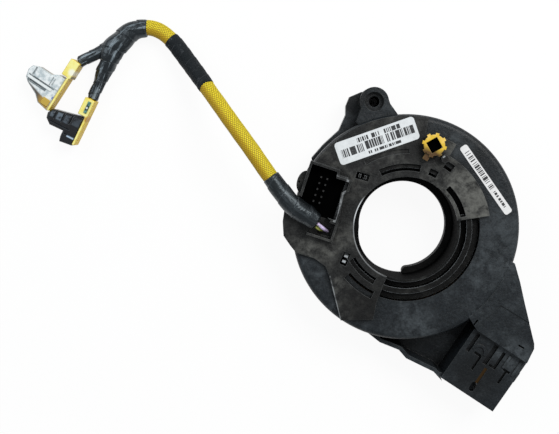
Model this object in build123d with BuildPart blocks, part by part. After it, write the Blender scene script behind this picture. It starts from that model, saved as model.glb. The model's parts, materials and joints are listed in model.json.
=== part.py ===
"""Steering clock spring: the rotary connector between a steering wheel and its column.

It lies on its back. The origin is on the axis of the column bore, at the surface that it rests on.
+Z points out of its face, and +X and +Y are the right and the top of the face as seen from above.
"""

import os
from math import atan2, cos, degrees, hypot, pi, radians, sin, tan

from build123d import *

os.makedirs("parts", exist_ok=True)

# Housing
cover_r = 55.0                   # outer radius of the round cover
cover_top = 26.0                 # height of the cover's face
cover_t = 1.8                    # thickness of the face
cover_skirt_t = 1.7
cover_skirt_bottom = 11.0
cover_shoulder_r = 2.8           # rounding between face and skirt
cover_apron_t = 1.6              # down the right edge, outside the tray's rim
cover_apron_gap = 0.2
cover_mark_centre = (48.7, -17.9)
cover_mark_r = 1.7
cover_vents = ((34.2, -46.4, 52.0, 4.4), (57.0, -58.0, -30.0, 3.2))   # place, turn, length
cover_vent_w = 0.8
housing_gap = 0.1                # between cover skirt and case wall
case_wall_t = 2.0
case_foot_h = 2.6                # rim on which the case stands
case_floor_z = 3.5
case_floor_t = 1.7
drum_case_gap = 1.5              # round the drum, inside the case floor's opening

# Rotor
drum_out_r = 32.0                # drum wall that the flat cable winds round
drum_wall_t = 2.7
groove_w = 3.0                   # open groove between the drum wall and the hub sleeve
sleeve_t = 1.3
web_top = 21.0                   # floor of the open groove between sleeve and drum
web_t = 1.5
drum_flange_w = 3.3
cover_drum_gap = 0.4             # running gap round the flange
drum_flange_z = 21.6
drum_flange_t = 1.5
drum_rib_t = 1.2                 # ribs across the groove where the plate ends
drum_rib_angles = (13.0, 70.0, 130.0, 190.0, 245.0)
snap_post_places = ((129.9, -16.0), (206.9, 68.0))   # angle round the drum, and its turn
snap_post_offset = 0.75          # outside the drum wall
snap_post_spread = 2.7
snap_post_size = (1.2, 1.8)
plate_gap = 0.4                  # running gap between cover and rotor plate
plate_edge_gap = 0.7             # the plate stays this far inside the cover's edge
plate_t = 1.6
plate_mid_r = 47.0               # round the lock button
plate_low_r = 40.5               # the short sector beside the narrow label
plate_start_a = 9.0              # angles from +X, in degrees
plate_low_end_a = 59.8
plate_mid_end_a = 79.0
plate_wide_end_a = 148.0
plate_end_a = 249.0
groove_window_angles = ((210.0, 240.0), (77.0, 115.0), (60.5, 68.5))
groove_window_edge = 1.3         # inside the drum wall
flange_window_angles = ((219.0, 244.0), (52.5, 59.5))
flange_window_offset = 2.2       # outside the drum wall
flange_window_w = 3.8
sleeve_window_angles = (12.0, 45.0)
sleeve_window_inset = 0.3        # outside the hub sleeve
face_recess_angles = (88.0, 122.0)
face_recess_offset = 4.2
face_recess_w = 2.2
face_recess_depth = 0.9
snap_window_size = (6.4, 3.4)
lobe_centre = (-49.3, 22.6)      # clip lobe beside the socket
lobe_radii = (3.2, 5.4)
lobe_hole_centre = (-51.4, 22.6)
lobe_hole_r = 0.6

# Snap ring that holds the rotor from behind
ring_lip = 3.3                   # inside the hub sleeve; the steering column passes within
ring_overlap = 4.0               # past the drum wall, under the case floor
ring_z = 0.0
ring_plate_t = 3.0
ring_collar_h = 5.6
ring_collar_gap = 0.1
ring_notch_start_a = 172.0       # the lip fades out from here to the full depth
ring_notch_deep_a = 238.0
ring_notch_end_a = 270.0
ring_notch_round = 2.4

# Flat cable and its slip sheets
cable_t = 0.35
cable_w = 15.2
cable_drum_gap = 0.5
cable_case_gap = 1.3
cable_half_turns = 12
sheet_t = 0.3
sheet_gap = 0.1

# Steering wheel socket on the rotor
socket_centre = (-41.0, 18.7)
socket_turn = -18.0
socket_outline = [               # outside of the wall, with the keyway at its upper right
    (-9.0, 12.1), (5.6, 12.1), (6.2, 9.0), (12.8, 9.0), (12.8, 3.6), (10.8, 1.6), (12.2, -8.0),
    (12.2, -12.6), (-9.0, -12.6),
]
socket_wall = 1.2
socket_round = 0.5
socket_rim_z = 33.0
socket_floor_t = 1.0
socket_pin_w = 0.8
socket_pin_pitch = 3.0
socket_pin_rows = 5
socket_pin_top = 31.6

# Lead outlet beside the socket
outlet_centre = (-40.4, -0.3)
outlet_w = 13.0
outlet_l = 10.0
outlet_wall = 1.2
outlet_h = 4.2
boot_gap = 0.3                   # round the boot where it crosses the socket's corner

# Lock button
lock_centre = (12.6, 40.3)
lock_crown_r = 5.0
lock_crown_t = 1.6
lock_tooth = 1.7
lock_teeth = 8
lock_hole = 5.8
lock_turn = 30.0
lock_post_w = 5.2
lock_skirt_in_r = 4.5
lock_skirt_h = 1.5
lock_travel = 1.5
lock_post_drop = 2.6             # top of the guide post under the crown's face
lock_rest_gap = 0.2              # under the skirt when pressed
lock_spring_wire = 0.5
lock_spring_r = 4.05
stop_post_centre = (17.9, 33.9)
stop_post_r = 1.9
stop_post_h = 4.4

lock_tab_size = (3.6, 2.6)       # tab on the skirt
lock_tab_reach = 1.4
lock_tab_turn = -122.0

# Mounting ear
ear_centre = (-15.4, 61.0)
ear_boss_r = 7.0
ear_top = 23.5
ear_web_top = 14.0
ear_hole_r = 2.6
ear_counterbore_r = 4.6
ear_counterbore_depth = 3.0

# Connector box at the foot of the housing, in its own turned frame
box_origin = (35.2, -50.2)
box_turn = -33.3
box_left = -0.6
box_w = 30.8
box_l = 29.4
box_top = 22.0
box_wall = 2.2
box_slot_depth = 2.0
box_slots = (                    # key slots on top: centre, width and length
    (2.6, -6.0, 2.0, 10.4), (9.6, -13.6, 1.2, 8.0), (13.2, -6.4, 2.4, 11.2),
    (18.4, -6.6, 1.6, 9.6), (24.2, -12.4, 1.2, 7.6),
    (7.9, -9.6, 3.8, 1.2), (24.2, -8.9, 3.8, 1.2), (17.2, -10.9, 3.8, 1.2),
)
box_rib_h = 0.9
box_rib_t = 1.2
box_ribs = ((21.6, -5.0, 7.0), (27.6, -5.4, 8.0))    # centre and length
box_arch_centre = (7.4, -8.4)
box_arch_r = 3.9
box_key = (-9.0, 5.5)            # place and length of the key on the right side
box_key_t = 0.9
release_hole_centre = (15.0, -24.4)
release_hole_size = (5.0, 2.8)
box_back_t = 9.0
tray_floor_t = 2.5
tray_rim_t = 2.0
tray_rim_h = 19.0
bracket_step_drop = 0.6
shroud_low = 4.0
shroud_high = 18.5
stator_pin_w = 0.9
stator_pin_pitch = 4.0
stator_pin_columns = 5
stator_pin_inset = 4.2           # pin rows from the cavity's floor and roof
stator_pin_l = 13.0
stator_pin_centre_u = 13.6
lead_block_l = 5.0
lead_block_drop = 1.0            # under the roof of the pin cavity
rotor_lead_angles = (142.0, 164.0)
rotor_lead_gap = 0.1
contact_centre = (15.3, -17.6)
contact_inset = 0.4              # under the top of the box
contact_l = 8.8
contact_w = 1.6
contact_t = 0.6

# Labels
label_t = 0.12
label_large_size = (40.0, 11.2)
label_large_centre = (-14.3, 42.2)
label_large_turn = 19.4
label_large_corner = 1.7
label_narrow_size = (39.5, 4.0)
label_narrow_centre = (38.2, 23.6)
label_narrow_turn = -54.7
label_narrow_corner = 1.2

# Harness
cord_r = 3.9
boot_r = 4.4
tape_r = 4.1
split_r = 4.7
branch_r = 2.6
wire_r = 0.8
arc_share = 0.45                 # part of a run that the arcs at its ends may take

# Airbag plugs on the harness
plug_h = 9.6
plug_cover_t = 1.2
plug_block_l = 9.2
plug_block_w = 5.2
plug_body_h = 9.2
plug_nose_w = 4.4
plug_nose_wall = 1.3
plug_nose_depth = 8.0
plug_terminal_r = 0.5
plug_terminal_pitch = 3.0
plug_terminal_setback = 1.5
plug_latch_t = 0.7
plug_corner_r = 0.4
plug_edge = 0.25
plug_groove_depth = 0.9
plug_rounding = 0.5
plug_a_origin = (-161.7, 80.4)
plug_a_turn = 236.2
plug_a_l = 28.4
plug_a_block_y = -1.5
plug_a_strip_inset = 0.8         # from the block's back to the strip's
plug_a_nose = (16.9, -19.4)      # tip of the nose
plug_a_outline = [
    (10.4, -0.9), (10.4, -5.0), (12.6, -8.6), (12.6, -15.9), (13.7, -18.5), (16.3, -19.4),
    (20.1, -18.5), (22.0, -16.4), (24.9, -10.0), (27.8, -6.8), (28.8, -0.9),
]
plug_a_grooves = [               # centre, width and length
    (18.0, -11.4, 0.6, 12.6), (20.4, -12.6, 0.5, 7.0), (15.2, -6.4, 4.6, 0.4),
    (15.4, -16.2, 4.2, 0.4),
]
plug_b_origin = (-155.9, 62.4)
plug_b_turn = 243.3
plug_b_l = 24.6
plug_b_block_y = -0.15
plug_b_strip_inset = 0.0
plug_b_nose = (16.0, -16.6)
plug_b_outline = [
    (9.8, 1.25), (9.8, -1.4), (11.0, -6.0), (12.8, -14.9), (15.4, -16.6), (18.2, -16.1),
    (20.6, -13.3), (20.4, -5.9), (23.4, -5.9), (26.0, -5.3), (25.2, 1.25),
]
plug_b_grooves = [
    (18.6, -8.4, 0.6, 10.4), (14.6, -12.6, 4.4, 0.5), (14.2, -8.6, 5.0, 0.5),
    (13.6, -4.4, 5.0, 0.5), (21.2, -2.0, 0.6, 5.6),
]

# Solids of one moulding reach this far into each other
lap = 0.2

# Points of the harness, from the lead outlet to the split, and of its two branches
route = [
    (-42.8, 3.6, 32.6),
    (-48.3, 7.3, 33.0),
    (-53.7, 11.1, 33.3),
    (-58.7, 16.4, 33.3),
    (-64.1, 23.6, 33.0),
    (-72.2, 35.4, 32.4),
    (-80.5, 46.7, 30.4),
    (-89.2, 58.2, 24.5),
    (-98.4, 70.1, 15.6),
    (-107.0, 81.3, 8.4),
    (-114.6, 91.1, 5.2),
    (-121.1, 96.7, 4.8),
    (-128.8, 98.5, 4.8),
    (-136.4, 95.6, 4.9),
    (-142.3, 90.5, 4.9),
    (-146.1, 86.1, 4.9),
]
branch_a_route = [
    (-148.2, 87.9, 4.4),
    (-152.7, 85.5, 4.5),
    (-157.7, 83.1, 4.6),
    (-163.2, 80.3, 4.7),
]
branch_b_route = [
    (-144.0, 84.3, 4.4),
    (-147.9, 79.8, 4.4),
    (-150.8, 74.6, 4.5),
    (-153.2, 68.8, 4.6),
    (-156.4, 61.6, 4.7),
]

wall_out_r = cover_r - cover_skirt_t - housing_gap
wall_in_r = wall_out_r - case_wall_t
drum_in_r = drum_out_r - drum_wall_t
drum_flange_r = drum_out_r + drum_flange_w
bore_r = drum_in_r - groove_w - sleeve_t
cover_opening_r = drum_flange_r + cover_drum_gap
case_floor_opening_r = drum_out_r + drum_case_gap
plate_r = cover_r - plate_edge_gap
ring_in_r = bore_r - ring_lip
ring_r = drum_out_r + ring_overlap
cable_in_r = drum_out_r + cable_drum_gap
cable_pitch = 2 * (wall_in_r - cable_case_gap - cable_in_r) / cable_half_turns
cover_under = cover_top - cover_t
plate_z = cover_top + plate_gap
plate_top = plate_z + plate_t
ring_top = ring_z + ring_plate_t
case_floor_top = case_floor_z + case_floor_t
lock_crown_low = plate_top + lock_rest_gap + lock_travel + lock_skirt_h
socket_pin_places = [
    (-1.8 + column * socket_pin_pitch, (row - 2) * socket_pin_pitch)
    for column in (0, 1)
    for row in range(socket_pin_rows)
]
stator_pin_places = [
    (stator_pin_centre_u + (column - (stator_pin_columns - 1) / 2) * stator_pin_pitch, z)
    for column in range(stator_pin_columns)
    for z in (shroud_low + stator_pin_inset, shroud_high - stator_pin_inset)
]


def polar(radius, angle):
    """Point at a radius and an angle in degrees."""
    return (radius * cos(radians(angle)), radius * sin(radians(angle)))


def ring_solid(outer, inner, low, high):
    """Plain ring between two heights, added to the part being built."""
    with BuildSketch(Plane.XY.offset(low)) as profile:
        Circle(outer)
        Circle(inner, mode=Mode.SUBTRACT)
    extrude(profile.sketch, amount=high - low)


def arc_window(inner, outer, start, end, z, depth):
    """Cut a curved window between two radii and two angles downwards from z."""
    with BuildSketch(Plane.XY.offset(z)) as window:
        with BuildLine():
            a = CenterArc((0, 0), inner, start, end - start)
            b = CenterArc((0, 0), outer, start, end - start)
            Line(a @ 0, b @ 0)
            Line(a @ 1, b @ 1)
        make_face()
    extrude(window.sketch, amount=-depth, mode=Mode.SUBTRACT)


def local_plane(origin, turn, z):
    """Horizontal plane at a point, turned about Z."""
    axis = (cos(radians(turn)), sin(radians(turn)), 0)
    return Plane(origin=(origin[0], origin[1], z), x_dir=axis, z_dir=(0, 0, 1))


def save(piece, name):
    """Label a finished piece and write it."""
    piece.part.label = name
    export_step(piece.part, f"parts/{name}.step")


def box_at(plane_z):
    """Plane of the connector box: x along its back edge, -y towards its open end."""
    return local_plane(box_origin, box_turn, plane_z)


def box_point(u, v):
    """Point of the connector box's frame in the part's frame."""
    c, s = cos(radians(box_turn)), sin(radians(box_turn))
    return (box_origin[0] + u * c + v * s, box_origin[1] + u * s - v * c)


def snap_posts():
    """Middle of each pair of snap posts, just outside the drum wall, with its turn."""
    return [
        Location(polar(drum_out_r + snap_post_offset, place), turn)
        for place, turn in snap_post_places
    ]


# Plane across the connector box: x along its back edge, y up, z out of its open end
pin_plane = Plane(
    origin=(*box_origin, 0),
    x_dir=(cos(radians(box_turn)), sin(radians(box_turn)), 0),
    z_dir=(sin(radians(box_turn)), -cos(radians(box_turn)), 0),
)

# Rear case: round wall, floor, ear, tray and connector box in one moulding
box_right = box_left + box_w
tray_outline = [
    (-30.0, -43.0),
    (-11.5, -57.6),
    (-2.0, -61.4),
    (1.6, -65.6),
    (15.2, -72.2),
    (19.6, -77.0),
    box_point(box_left, box_l),
    box_point(box_right, box_l),
    box_point(box_right - cover_apron_t - 0.2, 0.0),
    (61.0, -57.4),
    (55.8, -36.9),
    (53.0, -25.0),
    (48.0, -12.0),
]
flat_outline = [                 # of the cover's flat over the tray
    (48.0, -14.0),
    (52.9, -17.0),
    (55.6, -26.0),
    (58.2, -37.0),
    (63.2, -56.4),
    (63.2, -59.0),
    box_point(box_right - 0.8, -0.2),
    box_point(0.0, -0.2),
    (31.0, -43.0),
]
step_outline = [                 # lower step of that flat
    (46.6, -37.4), (70.0, -51.8), (70.0, -80.0), (30.0, -60.0), (34.6, -47.6), (42.0, -42.0),
]
ear_web_outline = [
    (-45.0, 29.0), (-45.6, 33.4), (-39.8, 40.0), (-32.2, 47.0), (-28.9, 54.5), (-28.8, 59.0),
    (-27.0, 63.4), (-21.4, 65.8), (-16.0, 66.0), (-9.0, 60.0), (-3.4, 54.2), (-5.0, 47.0),
]
ear_boss_outline = [
    (-21.6, 58.2), (-20.4, 65.8), (-9.2, 64.2), (-7.8, 60.0), (-3.6, 54.2), (-5.0, 49.0),
    (-20.0, 47.0), (-24.0, 51.0),
]


def outline_face(points, grow=0.0, boss=None):
    """Filled outline on the base plane, grown by a clearance and joined with a round boss."""
    with BuildSketch() as shape:
        with BuildLine():
            Polyline(*points, close=True)
        make_face()
        if boss:
            with Locations(boss):
                Circle(ear_boss_r)
        if grow:
            offset(amount=grow, kind=Kind.INTERSECTION)
    return shape.sketch


with BuildPart() as rear_case:
    ring_solid(wall_out_r, wall_in_r, 0, cover_under)
    ring_solid(cover_r, wall_in_r, 0, case_foot_h)
    ring_solid(wall_in_r + 0.5, case_floor_opening_r, case_floor_z, case_floor_top)
    # tray beside the round wall
    with BuildSketch():
        with BuildLine():
            Polyline(*tray_outline, close=True)
        make_face()
        Circle(wall_out_r - case_wall_t / 2, mode=Mode.SUBTRACT)
    extrude(amount=tray_floor_t)
    with BuildSketch():
        with BuildLine():
            Polyline(*tray_outline, close=True)
        make_face()
        offset(amount=-tray_rim_t, mode=Mode.SUBTRACT)
        Circle(wall_out_r - case_wall_t / 2, mode=Mode.SUBTRACT)
    extrude(amount=tray_rim_h)
    # connector box
    with BuildSketch(box_at(0)):
        with Locations((box_left + box_w / 2, -box_l / 2)):
            Rectangle(box_w, box_l)
    extrude(amount=box_top)
    with BuildSketch(box_at(box_wall)):
        with Locations((box_right + (box_key_t - lap) / 2, box_key[0])):
            Rectangle(box_key_t + lap, box_key[1])
    extrude(amount=box_top - 2 * box_wall)
    with BuildSketch(box_at(shroud_low)):
        with Locations((box_left + box_w / 2, -(box_back_t + box_l) / 2)):
            Rectangle(box_w - 2 * box_wall, box_l - box_back_t)
    extrude(amount=shroud_high - shroud_low, mode=Mode.SUBTRACT)
    # key slots on top of the box
    with BuildSketch(box_at(box_top)):
        for x, y, width, length in box_slots:
            with Locations((x, y)):
                Rectangle(width, length)
    extrude(amount=-box_slot_depth, mode=Mode.SUBTRACT)
    # raised arch, open towards the mouth, and two ribs
    with BuildSketch(box_at(box_top - lap)):
        with BuildLine():
            arch_outer = CenterArc(box_arch_centre, box_arch_r, 0, 180)
            arch_inner = CenterArc(box_arch_centre, box_arch_r - box_rib_t, 0, 180)
            Line(arch_outer @ 0, arch_inner @ 0)
            Line(arch_outer @ 1, arch_inner @ 1)
        make_face()
        for x, y, length in box_ribs:
            with Locations((x, y)):
                Rectangle(box_rib_t, length)
    extrude(amount=box_rib_h + lap)
    # slot for the contact bar, and the release hole at its end
    with BuildSketch(box_at(box_top)):
        with Locations(contact_centre):
            Rectangle(contact_w, contact_l)
    extrude(amount=-contact_t - contact_inset, mode=Mode.SUBTRACT)
    with BuildSketch(box_at(box_top)):
        with Locations(release_hole_centre):
            SlotOverall(*release_hole_size, rotation=90)
    extrude(amount=-(box_top - shroud_high), mode=Mode.SUBTRACT)
    # ear: wide web below, screw boss above
    with BuildSketch():
        add(outline_face(ear_web_outline, boss=ear_centre))
        Circle(wall_out_r - case_wall_t / 2, mode=Mode.SUBTRACT)
    extrude(amount=ear_web_top)
    with BuildSketch(Plane.XY.offset(ear_web_top - 0.5)):
        add(outline_face(ear_boss_outline, boss=ear_centre))
        Circle(wall_out_r - case_wall_t / 2, mode=Mode.SUBTRACT)
    extrude(amount=ear_top - ear_web_top + 0.5)
    with Locations((ear_centre[0], ear_centre[1], ear_top)):
        CounterBoreHole(ear_hole_r, ear_counterbore_r, ear_counterbore_depth, depth=ear_top)
    # holes for the pins through the back of the box
    with BuildSketch(pin_plane):
        with Locations(*stator_pin_places):
            Rectangle(stator_pin_w, stator_pin_w)
    extrude(amount=box_back_t, mode=Mode.SUBTRACT)
save(rear_case, "rear_case")

# Front cover: round shell with a shoulder, and the flat over the tray
with BuildPart() as front_cover:
    with BuildSketch(Plane.XZ) as cover_profile:
        with BuildLine():
            edge = Line((cover_opening_r, cover_top), (cover_r - cover_shoulder_r, cover_top))
            shoulder = RadiusArc(
                edge @ 1, (cover_r, cover_top - cover_shoulder_r), cover_shoulder_r
            )
            Polyline(
                shoulder @ 1,
                (cover_r, cover_skirt_bottom),
                (cover_r - cover_skirt_t, cover_skirt_bottom),
                (cover_r - cover_skirt_t, cover_under),
                (cover_opening_r, cover_under),
                edge @ 0,
            )
        make_face()
    revolve(axis=Axis.Z)
    with BuildSketch(Plane.XY.offset(cover_under)):
        with BuildLine():
            Polyline(*flat_outline, close=True)
        make_face()
        Circle(cover_r - cover_skirt_t, mode=Mode.SUBTRACT)
    extrude(amount=cover_t)
    # apron down the right edge, outside the tray's rim
    with BuildSketch(Plane.XY.offset(tray_rim_h + cover_apron_gap)):
        with BuildLine():
            Polyline(*flat_outline, close=True)
        make_face()
        offset(amount=-cover_apron_t, mode=Mode.SUBTRACT)
        Circle(cover_r - cover_skirt_t, mode=Mode.SUBTRACT)
    extrude(amount=cover_under - tray_rim_h - cover_apron_gap)
    # lower step beside the connector box
    with BuildSketch(Plane.XY.offset(cover_top)):
        with BuildLine():
            Polyline(*step_outline, close=True)
        make_face()
    extrude(amount=-bracket_step_drop, mode=Mode.SUBTRACT)
    # notches in the skirt for the ear and the tray
    for points, boss, height in (
        (ear_web_outline, ear_centre, ear_web_top),
        (ear_boss_outline, ear_centre, ear_top),
        (tray_outline, None, tray_rim_h),
    ):
        extrude(
            outline_face(points, housing_gap, boss),
            amount=height + housing_gap, mode=Mode.SUBTRACT,
        )
    # small arrow-shaped mark and two vents
    with BuildSketch(Plane.XY.offset(cover_top)):
        with Locations(cover_mark_centre):
            RegularPolygon(cover_mark_r, 3, rotation=100)
    extrude(amount=lap)
    with BuildSketch(Plane.XY.offset(cover_top)):
        for x, y, turn, length in cover_vents:
            with Locations(Location((x, y), turn)):
                Rectangle(length, cover_vent_w)
    extrude(amount=-cover_t - lap, mode=Mode.SUBTRACT)
save(front_cover, "front_cover")


# Rotor drum: hub sleeve, open groove and the wall that the flat cable winds round
with BuildPart() as rotor_drum:
    ring_solid(bore_r + sleeve_t, bore_r, ring_top, plate_z)
    ring_solid(drum_out_r, drum_in_r, ring_top, plate_z)
    ring_solid(drum_in_r + lap, bore_r + sleeve_t - lap, web_top - web_t, web_top)
    ring_solid(drum_flange_r, drum_out_r - lap, drum_flange_z, drum_flange_z + drum_flange_t)
    # ribs across the groove where the plate ends
    with BuildSketch(Plane.XY.offset(web_top - lap)):
        for angle in drum_rib_angles:
            with Locations(Location(polar(drum_in_r - groove_w / 2, angle), angle)):
                Rectangle(groove_w + 2 * lap, drum_rib_t)
    extrude(amount=plate_z - web_top + lap)
    # snap posts that rise through the plate's two windows
    with BuildSketch(Plane.XY.offset(drum_flange_z + drum_flange_t - lap)):
        with Locations(*snap_posts()):
            with Locations((snap_post_spread / 2, 0), (-snap_post_spread / 2, 0)):
                Rectangle(*snap_post_size)
    extrude(amount=plate_top - plate_gap - drum_flange_z - drum_flange_t + lap)
save(rotor_drum, "rotor_drum")


# Rotor plate: the face that turns with the wheel
with BuildPart() as rotor_plate:
    with BuildSketch(Plane.XY.offset(plate_z)):
        with BuildLine():
            low = CenterArc((0, 0), plate_low_r, plate_start_a, plate_low_end_a - plate_start_a)
            middle = CenterArc(
                (0, 0), plate_mid_r, plate_low_end_a, plate_mid_end_a - plate_low_end_a
            )
            wide = CenterArc((0, 0), plate_r, plate_mid_end_a, plate_wide_end_a - plate_mid_end_a)
            inner = CenterArc((0, 0), bore_r, plate_start_a, plate_end_a - plate_start_a)
            Line(inner @ 0, low @ 0)
            Line(low @ 1, middle @ 0)
            Line(middle @ 1, wide @ 0)
            Polyline(
                wide @ 1, (-50.2, 25.6), (-50.6, 14.0), (-58.6, 8.8), (-59.4, 3.4),
                (-59.0, -3.6), (-55.8, -8.3), (-53.0, -11.8), (-44.0, -14.6), (-38.6, -18.4),
                (-36.8, -23.2), (-31.2, -45.0), (-15.4, -44.6), (-13.8, -36.0), inner @ 1,
            )
        make_face()
    extrude(amount=plate_t)
    # clip lobe beside the socket
    with BuildSketch(Plane.XY.offset(plate_z)):
        with Locations(lobe_centre):
            Ellipse(*lobe_radii, rotation=socket_turn)
    extrude(amount=plate_t)
    with Locations((*lobe_hole_centre, plate_top)):
        Hole(lobe_hole_r, depth=plate_t / 2)
    # walls of the socket and of the lead outlet
    with BuildSketch(local_plane(socket_centre, socket_turn, plate_z)) as socket_block:
        with BuildLine():
            Polyline(*socket_outline, close=True)
        make_face()
        fillet(socket_block.vertices(), socket_round)
    extrude(amount=socket_rim_z - plate_z)
    with BuildSketch(local_plane(outlet_centre, socket_turn, plate_top - lap)):
        with Locations((0, 0.6)):
            Rectangle(outlet_w, outlet_l)
    extrude(amount=outlet_h + lap)
    # cavity, which follows the keyed outline
    with BuildSketch(local_plane(socket_centre, socket_turn, socket_rim_z)):
        with BuildLine():
            Polyline(*socket_outline, close=True)
        make_face()
        offset(amount=-socket_wall, kind=Kind.INTERSECTION)
    extrude(amount=-(socket_rim_z - plate_z - socket_floor_t), mode=Mode.SUBTRACT)
    # hollow of the lead outlet, open on the side where the harness leaves
    with BuildSketch(local_plane(outlet_centre, socket_turn, plate_top)):
        with Locations((-outlet_wall, 0.6)):
            Rectangle(outlet_w, outlet_l - 2 * outlet_wall)
    extrude(amount=outlet_h + 1, mode=Mode.SUBTRACT)
    with BuildSketch(local_plane(outlet_centre, socket_turn, plate_top)):
        with Locations((1.5, -0.4)):
            Rectangle(6.0, 4.0)
    extrude(amount=-plate_t - 1, mode=Mode.SUBTRACT)
    # channel for the harness boot across the corner of the socket
    channel_start, channel_end = route[0], route[3]
    channel_turn = degrees(
        atan2(channel_end[1] - channel_start[1], channel_end[0] - channel_start[0])
    )
    channel_middle = (
        (channel_start[0] + channel_end[0]) / 2, (channel_start[1] + channel_end[1]) / 2
    )
    with BuildSketch(local_plane(channel_middle, channel_turn, plate_top)):
        Rectangle(30.0, 2 * (boot_r + boot_gap))
    extrude(amount=socket_rim_z - plate_top + 1, mode=Mode.SUBTRACT)
    # arc windows over the grooves
    for start, end in groove_window_angles:
        arc_window(
            drum_in_r - groove_window_edge, drum_out_r - groove_window_edge / 2, start, end,
            plate_top, plate_t + lap,
        )
    arc_window(
        bore_r + sleeve_t + sleeve_window_inset, drum_in_r, *sleeve_window_angles, plate_top,
        plate_t + lap,
    )
    for start, end in flange_window_angles:
        inner_edge = drum_out_r + flange_window_offset
        arc_window(inner_edge, inner_edge + flange_window_w, start, end, plate_top, plate_t + lap)
    arc_window(
        drum_out_r + face_recess_offset, drum_out_r + face_recess_offset + face_recess_w,
        *face_recess_angles, plate_top, face_recess_depth,
    )
    # windows round the snap posts
    with BuildSketch(Plane.XY.offset(plate_top)):
        with Locations(*snap_posts()):
            Rectangle(*snap_window_size)
    extrude(amount=-plate_t - lap, mode=Mode.SUBTRACT)
    # square guide post of the lock button, and the stop post beside it
    with BuildSketch(local_plane(lock_centre, lock_turn, plate_top - lap)):
        Rectangle(lock_post_w, lock_post_w)
    extrude(amount=lock_crown_low + lock_crown_t - lock_post_drop - plate_top + lap)
    with BuildSketch(Plane.XY.offset(plate_top - lap)):
        with Locations(stop_post_centre):
            Circle(stop_post_r)
    extrude(amount=stop_post_h + lap)
    # holes for the socket's pins
    with BuildSketch(local_plane(socket_centre, socket_turn, plate_top)):
        with Locations(*socket_pin_places):
            Rectangle(socket_pin_w, socket_pin_w)
    extrude(amount=-plate_t - 1, mode=Mode.SUBTRACT)
save(rotor_plate, "rotor_plate")


# Snap ring behind the case floor
with BuildPart() as rotor_rear_ring:
    ring_solid(ring_r, ring_in_r, ring_z, ring_top)
    ring_solid(bore_r - ring_collar_gap, ring_in_r, ring_top - lap, ring_z + ring_collar_h)
    # notch in the lip, which deepens slowly and ends in a rounded step
    with BuildSketch(Plane.XY.offset(ring_z + ring_collar_h)):
        with BuildLine():
            notch_r = bore_r - ring_collar_gap + 0.05
            deep = CenterArc(
                (0, 0), notch_r, ring_notch_deep_a, ring_notch_end_a - ring_notch_deep_a
            )
            clear = CenterArc(
                (0, 0), ring_in_r - 1, ring_notch_start_a, ring_notch_end_a - ring_notch_start_a
            )
            halfway = (ring_notch_start_a + ring_notch_deep_a) / 2
            ThreePointArc(
                clear @ 0, polar((notch_r + ring_in_r) / 2, halfway), deep @ 0
            )
            Line(clear @ 1, deep @ 1)
        make_face()
    extrude(amount=-ring_collar_h - 1, mode=Mode.SUBTRACT)
    step_place = (*polar(ring_in_r, ring_notch_end_a), ring_z + ring_collar_h / 2)
    upright = rotor_rear_ring.edges().filter_by(Axis.Z)
    step_edge = upright.filter_by(lambda edge: edge.length > ring_plate_t)
    fillet(step_edge.sort_by_distance(step_place)[0], ring_notch_round)
save(rotor_rear_ring, "rotor_rear_ring")


# Flat cable, wound as half turns whose centres step from side to side
with BuildPart() as flat_cable:
    with BuildSketch(Plane.XY.offset(case_floor_top + sheet_t + sheet_gap)):
        with BuildLine():
            radius = cable_in_r
            centre = 0.0
            start = 0.0
            for turn in range(cable_half_turns):
                CenterArc((centre, 0), radius, start, 180)
                step = cable_pitch / 2 * (1 if start == 0.0 else -1)
                centre += step
                radius += cable_pitch / 2
                start = 180.0 - start
        trace(line_width=cable_t)
    extrude(amount=cable_w)
save(flat_cable, "flat_cable")

with BuildPart() as slip_sheet_lower:
    ring_solid(wall_in_r - 0.4, drum_out_r + 2.0, case_floor_top, case_floor_top + sheet_t)
save(slip_sheet_lower, "slip_sheet_lower")

with BuildPart() as slip_sheet_upper:
    ring_solid(wall_in_r - 0.4, drum_flange_r + 1.2, cover_under - sheet_t, cover_under)
save(slip_sheet_upper, "slip_sheet_upper")


# Terminal blocks where the flat cable is joined to the pins
with BuildPart() as rotor_lead_block:
    with BuildSketch(Plane.XY.offset(web_top)):
        with BuildLine():
            turn = rotor_lead_angles[1] - rotor_lead_angles[0]
            a = CenterArc(
                (0, 0), bore_r + sleeve_t + rotor_lead_gap, rotor_lead_angles[0], turn
            )
            b = CenterArc((0, 0), drum_in_r - rotor_lead_gap, rotor_lead_angles[0], turn)
            Line(a @ 0, b @ 0)
            Line(a @ 1, b @ 1)
        make_face()
    extrude(amount=plate_z - web_top)
save(rotor_lead_block, "rotor_lead_block")

with BuildPart() as stator_lead_block:
    with BuildSketch(box_at(tray_floor_t)):
        with Locations((stator_pin_centre_u, lead_block_l / 2)):
            Rectangle(stator_pin_pitch * stator_pin_columns, lead_block_l)
    extrude(amount=shroud_high - lead_block_drop - tray_floor_t)
save(stator_lead_block, "stator_lead_block")

with BuildPart() as socket_pins:
    with BuildSketch(local_plane(socket_centre, socket_turn, plate_z)):
        with Locations(*socket_pin_places):
            Rectangle(socket_pin_w, socket_pin_w)
    extrude(amount=socket_pin_top - plate_z)
save(socket_pins, "socket_pins")

with BuildPart() as contact_bar:
    with BuildSketch(box_at(box_top - contact_t - contact_inset)):
        with Locations(contact_centre):
            Rectangle(contact_w, contact_l)
    extrude(amount=contact_t)
save(contact_bar, "contact_bar")


# Labels
with BuildPart() as label_large:
    with BuildSketch(local_plane(label_large_centre, label_large_turn, plate_top)):
        RectangleRounded(*label_large_size, label_large_corner)
    extrude(amount=label_t)
save(label_large, "label_large")

with BuildPart() as label_narrow:
    with BuildSketch(local_plane(label_narrow_centre, label_narrow_turn, cover_top)):
        RectangleRounded(*label_narrow_size, label_narrow_corner)
    extrude(amount=label_t)
save(label_narrow, "label_narrow")


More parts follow.
